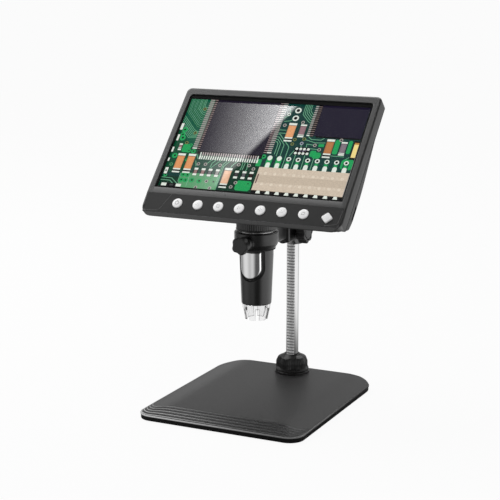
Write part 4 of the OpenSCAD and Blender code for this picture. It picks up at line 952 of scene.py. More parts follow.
class MICROSCOPE_OT_tube(MicroscopeOperator):
    """Camera tube, its bright front insert and the focus wheel"""

    bl_idname = "microscope.tube"
    bl_label = "Camera tube"

    straight_low, wall_radius, tip_radius = 120.0, 13.0, 11.5
    insert_half, insert_low, insert_high = 8.8, 102.8, 123.8

    def build(self, look):
        low, high = node_box("tube_body")
        self.low = low[2]
        cup, cup_depth, mouth = 10.1, 6.0, 0.6
        profile = path([(0, self.low + cup_depth, 0), (cup, self.low + cup_depth, 0),
                        (cup, self.low, 0.3), (self.tip_radius, self.low, mouth),
                        (self.wall_radius, self.straight_low, 30), (self.wall_radius, high[2], 0.3),
                        (0, high[2], 0)], 7)
        grid = turned(self.finer(profile, 0.6), 220)
        piece("tube_shell", [self.sink_insert(grid) + (0, TUBE_Y, 0)], "tube_plastic", "head",
              ["tube_body"])
        self.build_insert()
        self.build_wheel()

    def finer(self, line, step):
        """The same line with points no further apart than a step."""
        lengths = np.linalg.norm(np.diff(line, axis=0), axis=1)
        along = np.concatenate([[0], np.cumsum(lengths)])
        wanted = np.union1d(along, np.arange(0, along[-1], step))
        return np.column_stack([np.interp(wanted, along, line[:, i]) for i in (0, 1)])

    def radius_at(self, height):
        """The tube's radius: a straight taper from the tip to the straight part."""
        share = np.clip((height - self.low) / (self.straight_low - self.low), 0, 1)
        return self.tip_radius + (self.wall_radius - self.tip_radius) * share

    def inside(self, x, height):
        """Distance inside the insert's outline: a slot with a half-round lower end, negative outside."""
        centre = self.insert_low + self.insert_half
        round_end = self.insert_half - np.hypot(x, height - centre)
        return np.where(height < centre, round_end, self.insert_half - np.abs(x))

    def sink_insert(self, grid):
        """Presses a rounded moat into the tube round the insert, deepest just outside the insert's edge:
        a smooth step of the share that is left of half its width."""
        outside, half_width, depth = 0.5, 1.5, 1.1
        front = grid[..., 1] < 0
        away = self.inside(grid[..., 0], grid[..., 2])
        moat = np.clip(1 - np.abs(away + outside) / half_width, 0, 1) * front
        moat = depth * moat * moat * (3 - 2 * moat) * (grid[..., 2] < self.insert_high + 0.5)
        radius = np.hypot(grid[..., 0], grid[..., 1])
        moat = np.where(radius > 11.0, moat, 0)
        factor = (1 - moat / np.maximum(radius, 1))[..., None]
        return grid * np.concatenate([factor, factor, np.ones_like(factor)], -1)

    def build_insert(self):
        """A bright plate bent to the tube, with a bevelled edge: rings of one outline drawn in."""
        half, low, high = self.insert_half - 0.5, self.insert_low + 0.5, self.insert_high
        corners = box_corners(-half, half, low, high, 0.3, half - 0.02)
        line = outline(corners, 24, np.linspace(0, 1, 14)[1:-1])
        middle = np.array([0, (low + high) / 2])
        section = [(0.0, -1.6), (0.0, 0.0), (0.12, 0.22), (0.4, 0.34), (1.0, 0.36)]
        rings = []
        for inset, proud in section + [(x, 0.36) for x in (2, 3, 4, 5, 6, 7, 8)]:
            drawn = middle + (line - middle) * (1 - inset / half)
            rings.append(self.bent(drawn, proud))
        grid = np.array(rings) + (0, TUBE_Y, 0)
        back = grid[:1] * (1, 0, 1) + (0, TUBE_Y - 9.0, 0)
        piece("bright_insert", [capped(np.concatenate([back, grid]))], "chrome", "head",
              ["chrome_insert"], 40.0)

    def bent(self, line, proud):
        """A flat line of (x, height) laid on the tube's front, so far outside its surface."""
        radius = self.radius_at(line[:, 1]) + proud
        y = -np.sqrt(np.maximum(radius**2 - line[:, 0] ** 2, 0))
        return np.column_stack([line[:, 0], y, line[:, 1]])

    def build_wheel(self):
        low, high = node_box("focus_wheel")
        radius = (high[0] - low[0]) / 2
        profile = path([(13.2, low[2], 0), (radius, low[2], 0.6), (radius, low[2] + 1.2, 0.2),
                        (radius - 0.35, low[2] + 1.5, 0.2), (radius - 0.35, high[2] - 1.5, 0.2),
                        (radius, high[2] - 1.2, 0.2), (radius, high[2], 0.6), (13.2, high[2], 0)], 4)

        def flutes(angle, height, at):
            inner = np.clip((at - radius + 0.6) / 0.1, 0, 1) * (at < radius - 0.2)
            return 1 - inner * 0.008 * (1 + np.cos(60 * angle))

        piece("focus_wheel_grip", [sleeve(profile, 600, TUBE_Y, flutes)], "tube_plastic",
              "focus_wheel", ["focus_wheel"])


class MICROSCOPE_OT_cap(MicroscopeOperator):
    """Clear cap with arched slots round its lower end"""

    bl_idname = "microscope.cap"
    bl_label = "Clear cap"

    slots, slot_half, arch, wall = 6, 1.5, 77.5, 1.2

    def build(self, look):
        low, high = node_box("clear_cap")
        profile = path([(8.6, low[2], 0), (11.0, 80.9, 3.0), (11.2, 82.3, 0.2), (10.05, 82.5, 0.2),
                        (10.05, high[2], 0)], 6)
        heights = np.concatenate([np.linspace(low[2], self.arch, 12),
                                  self.arch + self.slot_half * np.sin(np.linspace(0, np.pi / 2, 9)[1:]),
                                  np.linspace(80, 80.9, 4), np.linspace(81.2, high[2], 12)])
        outer = np.interp(heights, profile[:, 1], profile[:, 0])
        inner = np.minimum(outer, 10.05) - self.wall
        grids = []
        for slot in range(self.slots):
            grids += self.panel(slot, heights, outer, inner)
        piece("clear_cap_shell", [(grid + (0, TUBE_Y, 0), False, False) for grid in grids],
              "clear_plastic", "clear_cap", ["clear_cap"], 35.0,
              cap_finish(self.slots, self.slot_half, self.arch))

    def panel(self, slot, heights, outer, inner):
        """The wall between two slots. At each height it spans the angles between the slots' edges; a
        slot's half width is constant up to its arch and then follows a half circle to nothing."""
        rise = np.clip(heights - self.arch, 0, self.slot_half)
        half = np.sqrt(np.maximum(self.slot_half**2 - rise**2, 0)) / outer
        first, last = slot * 2 * np.pi / self.slots, (slot + 1) * 2 * np.pi / self.slots
        share = np.linspace(0, 1, 22)[None, :]
        angle = (first + half)[:, None] * (1 - share) + (last - half)[:, None] * share

        def skin(radius):
            return np.stack([radius[:, None] * np.cos(angle), radius[:, None] * np.sin(angle),
                             np.broadcast_to(heights[:, None], angle.shape)], -1)

        out, back = skin(outer), skin(inner)
        rows = int((half > 1e-9).sum()) + 1
        sides = [np.stack([out[:rows, c], back[:rows, c]], 1) for c in (0, -1)]
        rims = [np.stack([out[r], back[r]], 1) for r in (0, -1)]
        return [out, back, *sides, *rims]


# ---------- screen unit ----------


CHIN_TOP, CREASE, CREASE_Z, LOWER_Z = -49.0, -66.0, -1.2, -3.7
HALF_WIDTH, UNIT_UP, UNIT_DOWN = 82.3, 51.7, -67.8
WINDOW_HALF, WINDOW_UP, WINDOW_DOWN, GLASS_Z = 77.2, 45.2, -43.8, -0.8
KEY_HALF, KEY_UP, KEY_DOWN = 80.2, -49.3, -65.6
SEAM_Z, SIDE_Z, BACK_Z = -10.0, -17.0, -20.0
BEND_Y, BEND_Z, FLAT_LOW, BEVEL_UP = -58.0, -15.3, -40.0, 7.7
WEDGE_TOP, WEDGE_LOW = 28.0, -24.0


def face_height(y):
    """Height of the housing's front: flat down to the chin, a gentle fall to the crease, then steep."""
    return np.interp(y, [UNIT_DOWN, CREASE, CHIN_TOP, 100], [LOWER_Z, CREASE_Z, 0.0, 0.0])


def underside(height):
    """How far up the screen the sloping underside lies at a height behind the face."""
    return np.interp(height, [BEND_Z, LOWER_Z], [BEND_Y, UNIT_DOWN])


def softer(first, second, radius, sign=1):
    """The larger (or, with sign -1, the smaller) of two values, with the crossing rounded:
    half of their sum plus or minus the root of their squared difference plus the squared radius."""
    return (first + second + sign * np.sqrt((first - second) ** 2 + radius**2)) / 2


def back_height(x, y):
    """Height of the back. Two side bevels, one from the seam and one from the deep side wall, joined by
    a bevel whose rim falls between them, under the profile that the unit shows from its side."""
    inward = HALF_WIDTH - np.abs(x)
    shallow = np.maximum(SEAM_Z - inward, BACK_Z)
    deep = np.maximum(SIDE_Z - inward, BACK_Z)
    rim = SEAM_Z + (SIDE_Z - SEAM_Z) * (WEDGE_TOP - y) / (WEDGE_TOP - WEDGE_LOW)
    sides = softer(shallow, softer(deep, rim - inward, 0.8), 0.8, -1)
    profile = np.interp(y, [UNIT_DOWN, BEND_Y, FLAT_LOW, UNIT_UP - BEVEL_UP, UNIT_UP],
                        [LOWER_Z, BEND_Z, BACK_Z, BACK_Z, SEAM_Z])
    return softer(profile, sides, 0.7)


class MICROSCOPE_OT_bezel(MicroscopeOperator):
    """Front of the screen unit, with its window recess and the pocket of the key panel"""

    bl_idname = "microscope.bezel"
    bl_label = "Front bezel"

    def build(self, look):
        outer = [(HALF_WIDTH, UNIT_UP, 4), (-HALF_WIDTH, UNIT_UP, 4), (-HALF_WIDTH, -47, 0),
                 (-HALF_WIDTH, -50, 0), (-HALF_WIDTH, UNIT_DOWN, 8), (HALF_WIDTH, UNIT_DOWN, 8),
                 (HALF_WIDTH, -50, 0), (HALF_WIDTH, -47, 0)]
        inner = [(WINDOW_HALF, WINDOW_UP, 2.8), (-WINDOW_HALF, WINDOW_UP, 2.8), (-WINDOW_HALF, KEY_UP, 0),
                 (-KEY_HALF, KEY_UP, 0), (-KEY_HALF, KEY_DOWN, 0.8), (KEY_HALF, KEY_DOWN, 0.8),
                 (KEY_HALF, KEY_UP, 0), (WINDOW_HALF, KEY_UP, 0)]
        shares = (0.1, 0.3, 0.5, 0.7, 0.9)
        outer_line, inner_line = outline(outer, 8, shares), outline(inner, 8, shares)
        centre = np.array([0, -8.0])
        radius = np.where(outer_line[:, 1:] < CREASE, 0.45, look.edge_radius)
        rings = []
        for inset, height in [(2.0, SEAM_Z + 0.15), (0.5, SEAM_Z + 0.15), (0.12, SEAM_Z + 0.25),
                              (0.0, SEAM_Z + 0.6), (0.0, -6.0), (0.0, LOWER_Z - 0.5)]:
            line = self.drawn(outer_line, centre, inset)
            line[:, 1] = np.maximum(line[:, 1], underside(height) + inset)
            rings.append(at_height(line, height))
        for turn in np.linspace(0, np.pi / 2, 8):
            line = self.drawn(outer_line, centre, radius * (1 - math.cos(turn)))
            rings.append(at_height(line, face_height(line[:, 1]) - radius[:, 0] * (1 - math.sin(turn))))
        start = self.drawn(outer_line, centre, radius)
        for share in np.linspace(0, 1, 10)[1:-1]:
            line = start * (1 - share) + inner_line * share
            rings.append(at_height(line, face_height(line[:, 1])))
        deep = np.where(inner_line[:, 1] > KEY_UP + 0.1, -GLASS_Z - 0.01, 3.2)
        for inset, drop in [(-0.25, 0.0), (-0.08, 0.07), (0.0, 0.25), (0.0, deep)]:
            line = self.drawn(inner_line, centre, inset)
            rings.append(at_height(line, face_height(line[:, 1]) - drop))
        grids = [(on_screen(np.array(rings)), True, True), on_screen(self.bar())]
        piece("front_bezel_shell", grids, "housing_plastic", "head", ["front_bezel"], 32.0)
        piece("window_gasket", [(on_screen(self.gasket()), True, True)], "rubber", "head",
              finish=moulded("gasket", grey(0.003), 0.7, 0.4, 0.004, 0.15))

    def drawn(self, line, centre, inset):
        """Moves a line inwards along x and y by a distance, or by one distance for each point."""
        reach = line - centre
        return centre + reach * (1 - inset / np.maximum(np.abs(reach), 12))

    def gasket(self):
        """A thin black frame on the glass, from the recess's wall to the edge of the picture."""
        outside = outline(box_corners(-WINDOW_HALF, WINDOW_HALF, WINDOW_DOWN, WINDOW_UP, 2.8, 1.0), 8)
        inside = outline(box_corners(-75.9, 76.0, -42.1, 41.6, 0.3, 0.3), 8)
        top, bottom = GLASS_Z + 0.1, GLASS_Z + 0.02
        return np.array([at_height(outside, bottom), at_height(outside, top),
                         at_height(inside, top - 0.02), at_height(inside, bottom)])

    def bar(self):
        """The strip between the window and the key panel, with softened long edges."""
        edge = path([(WINDOW_DOWN, -3.2, 0), (WINDOW_DOWN, 0, 0.3), (CHIN_TOP, 0, 0.4),
                     (KEY_UP, -0.02, 0.05), (KEY_UP, -3.2, 0)], 4)
        return capped(np.stack([np.column_stack([np.full(len(edge), x), edge])
                                for x in np.linspace(-WINDOW_HALF - 0.3, WINDOW_HALF + 0.3, 12)]))


class MICROSCOPE_OT_key_lines(MicroscopeOperator):
    """Fine styling lines that run down both ends of the key panel"""

    bl_idname = "microscope.key_lines"
    bl_label = "Key panel lines"

    def build(self, look):
        left = path([(-60.1, -49.6, 0), (-67.0, -64.0, 2.5), (-80.0, -64.9, 0)], 8)
        right = path([(80.0, -51.5, 0), (78.6, -62.6, 3.0), (69.0, -64.9, 0)], 8)
        grids = [on_screen(self.bead(line)) for line in (left, right)]
        piece("key_panel_lines", [capped(grid) for grid in grids], "housing_plastic", "head")

    def bead(self, line):
        """A half-round bead 0.5 wide and 0.12 high carried along a line on the panel's face."""
        tangent = np.gradient(line, axis=0)
        tangent /= np.linalg.norm(tangent, axis=1, keepdims=True)
        side = np.column_stack([-tangent[:, 1], tangent[:, 0]])
        turn = np.linspace(0, 2 * np.pi, 10, endpoint=False)[None, :, None]
        flat = line[:, None] + side[:, None] * 0.25 * np.cos(turn)
        height = face_height(line[:, 1])[:, None, None] + 0.12 * np.sin(turn)
        return np.concatenate([flat, height], -1)


class MICROSCOPE_OT_rear(MicroscopeOperator):
    """Rear cover with its soft bevels, air slots, screw recesses and the tube's sleeve"""

    bl_idname = "microscope.rear"
    bl_label = "Rear cover"

    def build(self, look):
        rings = [self.ring(inset, SEAM_Z - drop) for inset, drop in
                 [(1.2, 0.15), (0.5, 0.15), (0.12, 0.25), (0.0, 0.55)]]
        edge = 0.9
        insets = [[0, 0.06, 0.2, 0.45], np.linspace(0.9, 14, 28), np.linspace(15, 57, 43)]
        for inset in np.concatenate(insets):
            line = self.ring(inset, 0.0)
            lift = edge * (1 - math.sqrt(1 - max(1 - inset / edge, 0) ** 2))
            line[:, 2] = np.minimum(back_height(line[:, 0], line[:, 1]) + lift, SEAM_Z - 0.6)
            rings.append(line)
        made = piece("rear_cover_shell", [capped(on_screen(np.array(rings)))], "housing_plastic",
                     "head", ["rear_cover"])
        cut(made, self.openings())
        bore, outer, low, high, top_z = 14.2, 15.55, 149.3, 190.0, -14.0
        wall = path([(bore, low, 0), (outer, low, 0.5), (outer, high, 0.2), (bore, high, 0)], 5)
        grid = turned(self.finer(wall), 160) + (0, TUBE_Y, 0)
        slant = top_z - (grid[..., 1] - SCREEN_MIDDLE[1]) * SCREEN_OUT[1]
        grid[..., 2] = np.minimum(grid[..., 2], SCREEN_MIDDLE[2] + slant / SCREEN_OUT[2])
        piece("tube_sleeve", [(grid, True, True)], "housing_plastic", "head")

    def finer(self, line):
        """The same line with ten points between each two."""
        share = np.linspace(0, len(line) - 1, (len(line) - 1) * 10 + 1)
        return np.column_stack([np.interp(share, np.arange(len(line)), line[:, i]) for i in (0, 1)])

    def ring(self, inset, height):
        """The unit's outline drawn in on all sides, cut off along the underside's seam."""
        x, up, down = HALF_WIDTH - inset, UNIT_UP - inset, UNIT_DOWN + inset
        line = outline(box_corners(-x, x, down, up, max(4 - inset, 0.3), max(8 - inset, 0.3)), 10,
                       [np.linspace(0, 1, count)[1:-1] for count in (120, 90, 120, 90)])
        line[:, 1] = np.maximum(line[:, 1], underside(SEAM_Z) + inset * 0.9)
        return at_height(line, height)

    def openings(self):
        """Stadium slots in three columns, round recesses for the housing screws, the card slot and the
        charging port."""
        cutters = []
        for row in range(6):
            for x in (-40, -12, 16):
                y = 12 + row * 4
                line = outline(box_corners(x, x + 24, y, y + 1.6, 0.75, 0.75), 6)
                cutters.append(capped(on_screen(np.array([at_height(line, z)
                                                          for z in (BACK_Z - 1, BACK_Z + 1.6)]))))
        for x in (-70, -27.125, 24.625, 59.95):
            profile = np.array([[2.0, BACK_Z], [2.0, SEAM_Z - 1]])
            cutters.append(capped(on_screen(turned(profile, 40) + (x, -58.4, 0))))
        card, port = (HALF_WIDTH, -44.0, 6.4, -16.3, 2.7), (-HALF_WIDTH, -12, 5.2, -13.1, 2.9)
        for x, y, wide, low, tall in (card, port):
            line = outline(box_corners(y - wide, y + wide, low, low + tall, 1.2, 1.2), 5)
            sides = [np.column_stack([np.full(len(line), at), line]) for at in (x - 1.8, x + 1.8)]
            cutters.append(capped(on_screen(np.array(sides))))
        return cutters


class MICROSCOPE_OT_buttons(MicroscopeOperator):
    """White buttons with fine printed signs"""

    bl_idname = "microscope.buttons"
    bl_label = "Buttons"

    button_y, first_x, pitch, radius, proud, foot = -56.7, -53.0, 17.25, 4.0, 0.35, -2.6

    def build(self, look):
        ink = moulded("button_ink", grey(0.42), 0.5, 0.4, 0.004)
        signs = [self.ring_sign, self.arrow_sign, self.bars_sign, self.play_sign, self.cross_sign,
                 self.arrow_sign, self.bars_sign]
        for i in range(7):
            place = np.array([self.first_x + i * self.pitch, self.button_y, 0])
            profile = path([(0, self.foot, 0), (self.radius, self.foot, 0.1),
                            (self.radius, self.proud - 0.25, 0.55), (0, self.proud + 0.05, 0)], 8)
            grid = on_screen(turned(profile, 72) + place)
            body = f"button_{i + 1}"
            piece(f"button_cap_{i + 1}", [grid], "button_white", body, [body])
            raised = place + (0, 0, self.proud - 0.05)
            shapes = [on_screen(shape + raised) for shape in signs[i]()]
            piece(f"button_sign_{i + 1}", [(capped(shape) if shape.shape[0] < 4 else shape)
                                           for shape in shapes], "button_white", body, finish=ink)
        self.square_button()

    def slab(self, line):
        """A thin printed mark: one closed line at two heights."""
        return np.array([at_height(line, -0.1), at_height(line, 0.04)])

    def ring_sign(self):
        band = np.array([[1.25, -0.1], [1.65, -0.1], [1.65, 0.05], [1.25, 0.05], [1.25, -0.1]])
        bar = outline(box_corners(-0.22, 0.22, 0.4, 2.1, 0.1, 0.1), 3)
        return [turned(band, 40), self.slab(bar)]

    def arrow_sign(self):
        return [self.slab(outline([(1.3, -0.8, 0.15), (0, 1.3, 0.15), (-1.3, -0.8, 0.15)], 3))]

    def bars_sign(self):
        return [self.slab(outline(box_corners(-1.4, 1.4, y, y + 0.42, 0.1, 0.1), 3))
                for y in (-1.2, -0.2, 0.8)]

    def play_sign(self):
        return [self.slab(outline([(1.5, 0, 0.15), (-0.9, 1.3, 0.15), (-0.9, -1.3, 0.15)], 3))]

    def cross_sign(self):
        return [self.slab(outline(box_corners(-1.4, 1.4, -0.22, 0.22, 0.1, 0.1), 3)),
                self.slab(outline(box_corners(-0.22, 0.22, -1.4, 1.4, 0.1, 0.1), 3))]

    def square_button(self):
        """A square cap standing on its corner, with a soft upper edge."""
        half, x = 3.3, 69.4
        edge = path([(0.0, self.foot, 0), (0.0, self.proud, 0.5), (half, self.proud + 0.05, 0)], 6)
        rings = []
        for inset, height in edge[:-1]:
            reach, soft = half - inset, max(1.3 - inset, 0.2)
            line = outline(box_corners(-reach, reach, -reach, reach, soft, soft), 8)
            turn = np.array([[1, 1], [-1, 1]]) / math.sqrt(2)
            rings.append(at_height(line @ turn, height))
        grid = on_screen(capped(np.array(rings)) + (x, self.button_y - 1.5, 0))
        piece("button_cap_8", [grid], "button_white", "button_8", ["button_8"])


class MICROSCOPE_OT_picture(MicroscopeOperator):
    """The picture on the display: a circuit board seen close up, drawn as flat shapes"""

    bl_idname = "microscope.picture"
    bl_label = "Display picture"

    back, layer_step, pin_pitch = -2.44, 0.03, 1.94
    left, right, low, high = -76.5, 74.9, -41.2, 42.4
    teal, moss, dark = (0.005, 0.045, 0.038), (0.004, 0.098, 0.052), (0.003, 0.035, 0.018)
    leaf, mint, white = (0.014, 0.36, 0.1), (0.1, 0.34, 0.15), (0.8, 0.86, 0.78)
    chip, slate, black = (0.016, 0.012, 0.024), (0.013, 0.01, 0.026), (0.001, 0.001, 0.002)
    track, tin, rust = (0.17, 0.46, 0.27), (0.42, 0.38, 0.36), (0.16, 0.1, 0.09)
    olive, tan, beige = (0.21, 0.22, 0.07), (0.66, 0.28, 0.11), (0.68, 0.57, 0.45)
    mauve, cream, coal = (0.27, 0.16, 0.18), (0.95, 0.75, 0.28), (0.05, 0.05, 0.05)

    def build(self, look):
        self.shapes = []
        for draw in (self.ground, self.tracks, self.big_chip, self.second_chip, self.connector,
                     self.capacitors, self.vias, self.finish_picture):
            draw()

    def add(self, points, colour, layer=1):
        """A flat convex shape at a layer, as a fan round its middle."""
        self.shapes.append((np.array(points, float), colour, layer))

    def block(self, x0, x1, y0, y1, colour, layer=1, lean=0.0):
        """A rectangle whose upper edge may lean to the right."""
        self.add([(x0, y0), (x1, y0), (x1 + lean, y1), (x0 + lean, y1)], colour, layer)

    def blocks(self, *rows):
        """Rectangles, each row as block takes it."""
        for row in rows:
            self.block(*row)

    def disc(self, x, y, radius, colour, layer=2, tall=1.0):
        """A disc, stretched upwards by tall."""
        turn = np.linspace(0, 2 * np.pi, 18, endpoint=False)
        self.add(np.column_stack([x + radius * np.cos(turn), y + tall * radius * np.sin(turn)]), colour,
                 layer)

    def ring(self, x, y, radius, colour, hole=0.55, middle=None):
        """A disc with a darker middle that takes a share of its radius."""
        self.disc(x, y, radius, colour, 3)
        self.disc(x, y, radius * hole, middle or self.dark, 4)

    def line(self, points, width, colour, layer=1):
        """A track of one width along straight runs, with round joints."""
        for (x0, y0), (x1, y1) in zip(points[:-1], points[1:]):
            length = math.hypot(x1 - x0, y1 - y0)
            nx, ny = (y0 - y1) / length * width / 2, (x1 - x0) / length * width / 2
            self.add([(x0 + nx, y0 + ny), (x0 - nx, y0 - ny), (x1 - nx, y1 - ny), (x1 + nx, y1 + ny)],
                     colour, layer)
            self.disc(x1, y1, width / 2, colour, layer)

    def ground(self):
        """Solder mask of several greens, with bare copper under it as brighter patches."""
        self.block(self.left, self.right, self.low, self.high, self.teal, 0)
        self.add([(self.left, self.high), (-52, self.high), (-52, -8), (-62, -3), (self.left, 14)],
                 self.moss, 0.3)
        self.add([(self.left, 16), (-62, -2), (-52, -8), (-52, -28), (self.left, -28)],
                 (0.004, 0.07, 0.03), 0.2)
        self.blocks(
            (-54, -26, -28, -8, (0.006, 0.06, 0.035), 0.25),
            (-26, 2.1, self.low, -14, self.dark, 0.25),
            (-60.5, -27, self.low, -27.4, self.mint, 0.4),
            (self.left, -61, self.low, -31.5, self.dark, 0.5))
        patches = [
            (-12.2, 0.6, -40, -31, 1.5), (-68, -61, -8.8, -1.2, 1), (-1.8, 2.2, -17, -10.5, 0.5),
            (43.3, 47.8, 4.2, 6.8, 0.3), (55.8, 59.8, -1.6, 11.4, 0.8), (66.6, 69.6, -0.5, 11.2, 0.8),
            (65.6, 75.6, -14.6, -5.6, 1.5), (38.6, 43.5, -5.2, 0.4, 1.0), (41, 47.6, -6.6, -1, 1.2),
        ]
        for x0, x1, y0, y1, cut in patches:
            self.add([(x0 + cut, y0), (x1 - cut, y0), (x1, y0 + cut), (x1, y1 - cut), (x1 - cut, y1),
                      (x0 + cut, y1), (x0, y1 - cut), (x0, y0 + cut)], self.leaf, 1.5)

    def tracks(self):
        """Copper tracks: bundles at regular steps first, and then single ones."""
        fine = 0.42
        for i in range(12):
            x = -75.8 + i * 1.2
            turn = 29.5 + i * 0.55
            self.line([(x, 42.4), (x, turn), (-62.2, turn - (-62.2 - x)), (-59.5, turn + x + 61.6)],
                      fine if i > 6 else 0.3, self.track if i % 3 else self.mint)
        for i in range(7):
            y = 25.5 - i * 1.75
            self.line([(-76.4, y), (-63.8 - i * 0.4, y - 12.6 + i * 0.4), (-61.4, y - 14 + i * 0.7),
                       (-59.4, y - 14.3 + i * 0.8)], fine, self.track)
        for i in range(5):
            x = 22.4 + i * 1.35
            self.line([(x, 42.4), (x, 33 + i * 0.9), (28.6 + i * 0.5, 26.8 + i * 1.7),
                       (31.2, 25.2 + i * 2)], 0.45, self.track)
        for y, low, x in [(13.6, -8, 20.1), (10.9, -7, 15.6), (8.6, -6.5, 12.4), (6.4, -5, 10.4)]:
            self.line([(7.6, y), (9.2, y), (x - 1, y - (x - 10)), (x, y - (x - 8.6)), (x, low)], 0.5,
                      self.track)
        self.line([(20.1, -2), (20.1, -17.4)], 0.5, self.track)
        drops = [
            (-39, -42.5, -18.4, -18.6), (-35.5, -38, -17.5, -21), (-31.5, -37, -21, -22),
            (-26.2, -28.4, -18, -37), (-23.6, -27.2, -19.5, -38), (-17.6, -20.6, -18, -20),
            (-12.6, -12.4, -18.6, -21.5), (-10.6, -10.8, -18, -21), (-8.6, -7.6, -20, -22),
        ]
        for x0, x1, y1, low in drops:
            self.line([(x0, -14.3), (x1, y1), (x1 - 0.4, low)], 0.55, self.track)
        strays = [
            [(9, 25.5), (14, 26.5), (17.5, 29)], [(8, 28.5), (12, 32), (11, 37)],
            [(7.6, 17.5), (13, 17.5)], [(8, 14.6), (14, 14.6)],
            [(33, 13), (36, 10.4), (44, 10.4), (46, 12)], [(30, 10.3), (40, 7.6), (48, 8)],
            [(37.5, 2), (45, 1.6)], [(29.4, 6.3), (29.8, 2)], [(34, 3), (33.8, 6), (40.4, 5.3)],
            [(55.6, -3.2), (66, -3.4)], [(65.8, -7.4), (70.8, -3.2)], [(25.7, 0), (23, -5.6)],
            [(27.6, -4), (27.4, -17)], [(35.2, -4), (35.4, -17)], [(43, -6), (43, -17)],
            [(-76, -33), (-67, -33.4), (-61, -38)], [(-76, -35.4), (-68, -35.6), (-63, -39.4)],
            [(-61, -28), (-61, -36)], [(-53, -28), (-52.6, -40)], [(-52.4, -16), (-50.5, -21)],
            [(-54, -9), (-51.4, -14)],
        ]
        for points in strays:
            self.line(points, 0.5, self.track, 1.2)

    def big_chip(self):
        """A square flat package whose pins run on three sides, each a pale pad and a darker leg."""
        self.blocks(
            (-59.6, -52.6, -5.4, self.high, self.moss, 2),
            (-55.3, -52.6, -6.2, self.high, self.black, 2.5),
            (-53.9, 1.3, -9.8, -6.4, self.black, 2.5),
            (1.2, 4.0, -5.2, self.high, self.black, 2.5),
            (-52.7, 1.2, -6.9, self.high, self.chip, 5))
        for i in range(25):
            y = -5.0 + i * self.pin_pitch
            self.blocks(
                (-59.3, -55.5, y, y + 1.05, self.tin if i else self.white, 3),
                (-55.0, -52.8, y + 0.1, y + 0.85, (0.3, 0.22, 0.21), 3),
                (4.0, 7.5, y + 0.35, y + 1.4, self.tin if i else self.white, 3),
                (1.3, 3.9, y + 0.4, y + 1.2, (0.34, 0.25, 0.26), 3))
        for i in range(26):
            x = -50.7 + i * self.pin_pitch
            end = i in (0, 25)
            self.block(x, x + (1.4 if end else 1.05), -14.3, -11.1, self.white, 3)
            self.block(x + 0.1, x + 1.0, -10.9, -7.8, self.white if end else (0.5, 0.42, 0.42), 3, -0.25)

    def second_chip(self):
        """A second package with pins on its left side; its other sides lie past the picture's edge."""
        self.blocks(
            (33.4, 36.8, 12.9, self.high, self.black, 2.5),
            (38.6, self.right, 12.4, 15, self.black, 2.5),
            (36.7, self.right, 13.7, self.high, self.slate, 5))
        for i in range(15):
            y = 13.4 + i * self.pin_pitch
            self.block(31.0, 33.3, y, y + 1.05, self.tin if i else self.white, 3)
            self.block(33.7, 36.4, y + 0.1, y + 0.85, (0.2, 0.15, 0.14), 3)

    def connector(self):
        """A pale housing with a row of round pins above it and teeth below."""
        self.blocks(
            (2.1, self.right, -38.4, -17.5, self.beige, 5),
            (2.1, self.right, -38.9, -38.4, (0.12, 0.09, 0.06), 5),
            (2.1, self.right, -31.2, -24.6, (0.6, 0.5, 0.39), 5.3),
            (3.0, 4.0, -32.2, -23.8, self.rust, 6),
            (2.1, self.right, self.low, -38.6, self.black, 3))
        for i in range(9):
            x = 8 + i * 7.72
            green = self.moss if i > 1 else self.leaf
            self.block(x - 2.3, x + 2.3, -17.5, -8, green, 2)
            self.disc(x, -8.8, 1.95, self.white, 3, 1.0 if i > 1 else 1.15)
            if i > 1:
                self.disc(x, -8.8, 1.05, self.black, 4)
            self.block(x - 1.2, x + 1.2, -13.4, -11, self.leaf, 3)
            self.add([(x - 1.75, -17.5), (x + 1.75, -17.5), (x + 1.75, -14.2), (x + 1, -13), (x - 1, -13),
                      (x - 1.75, -14.2)], self.white, 4)
            self.add([(x - 1.9, self.low), (x + 1.9, self.low), (x + 1.2, -38.6), (x - 1.2, -38.6)],
                     self.white, 6)
            for y in (-23, -32.6):
                self.disc(x + 0.8, y, 1.3, (0.78, 0.68, 0.55), 6)
                self.disc(x - 3, y, 0.9, (0.72, 0.62, 0.5), 6)

    def capacitor(self, x0, x1, high, low, colour, cap=2.0, dark=1.5):
        """A body between two white ends, with the solder's dark and light lines below it."""
        self.blocks(
            (x0, x1, low, high, self.black, 3),
            (x0 - 0.1, x1 + 0.1, high - cap, high, self.white, 4),
            (x0, x1, low + cap + dark + 0.3, high - cap - 0.35, colour, 4),
            (x0 + 0.9, x1 - 0.9, low + cap + dark + 1, high - cap - 1, shade(colour, 1.18)[:3], 4.5),
            (x0, x1, low + dark + 1.2, low + cap + dark + 0.5, self.white, 4.2),
            (x0 - 0.1, x1 + 0.1, low, low + 1.3, self.white, 4))

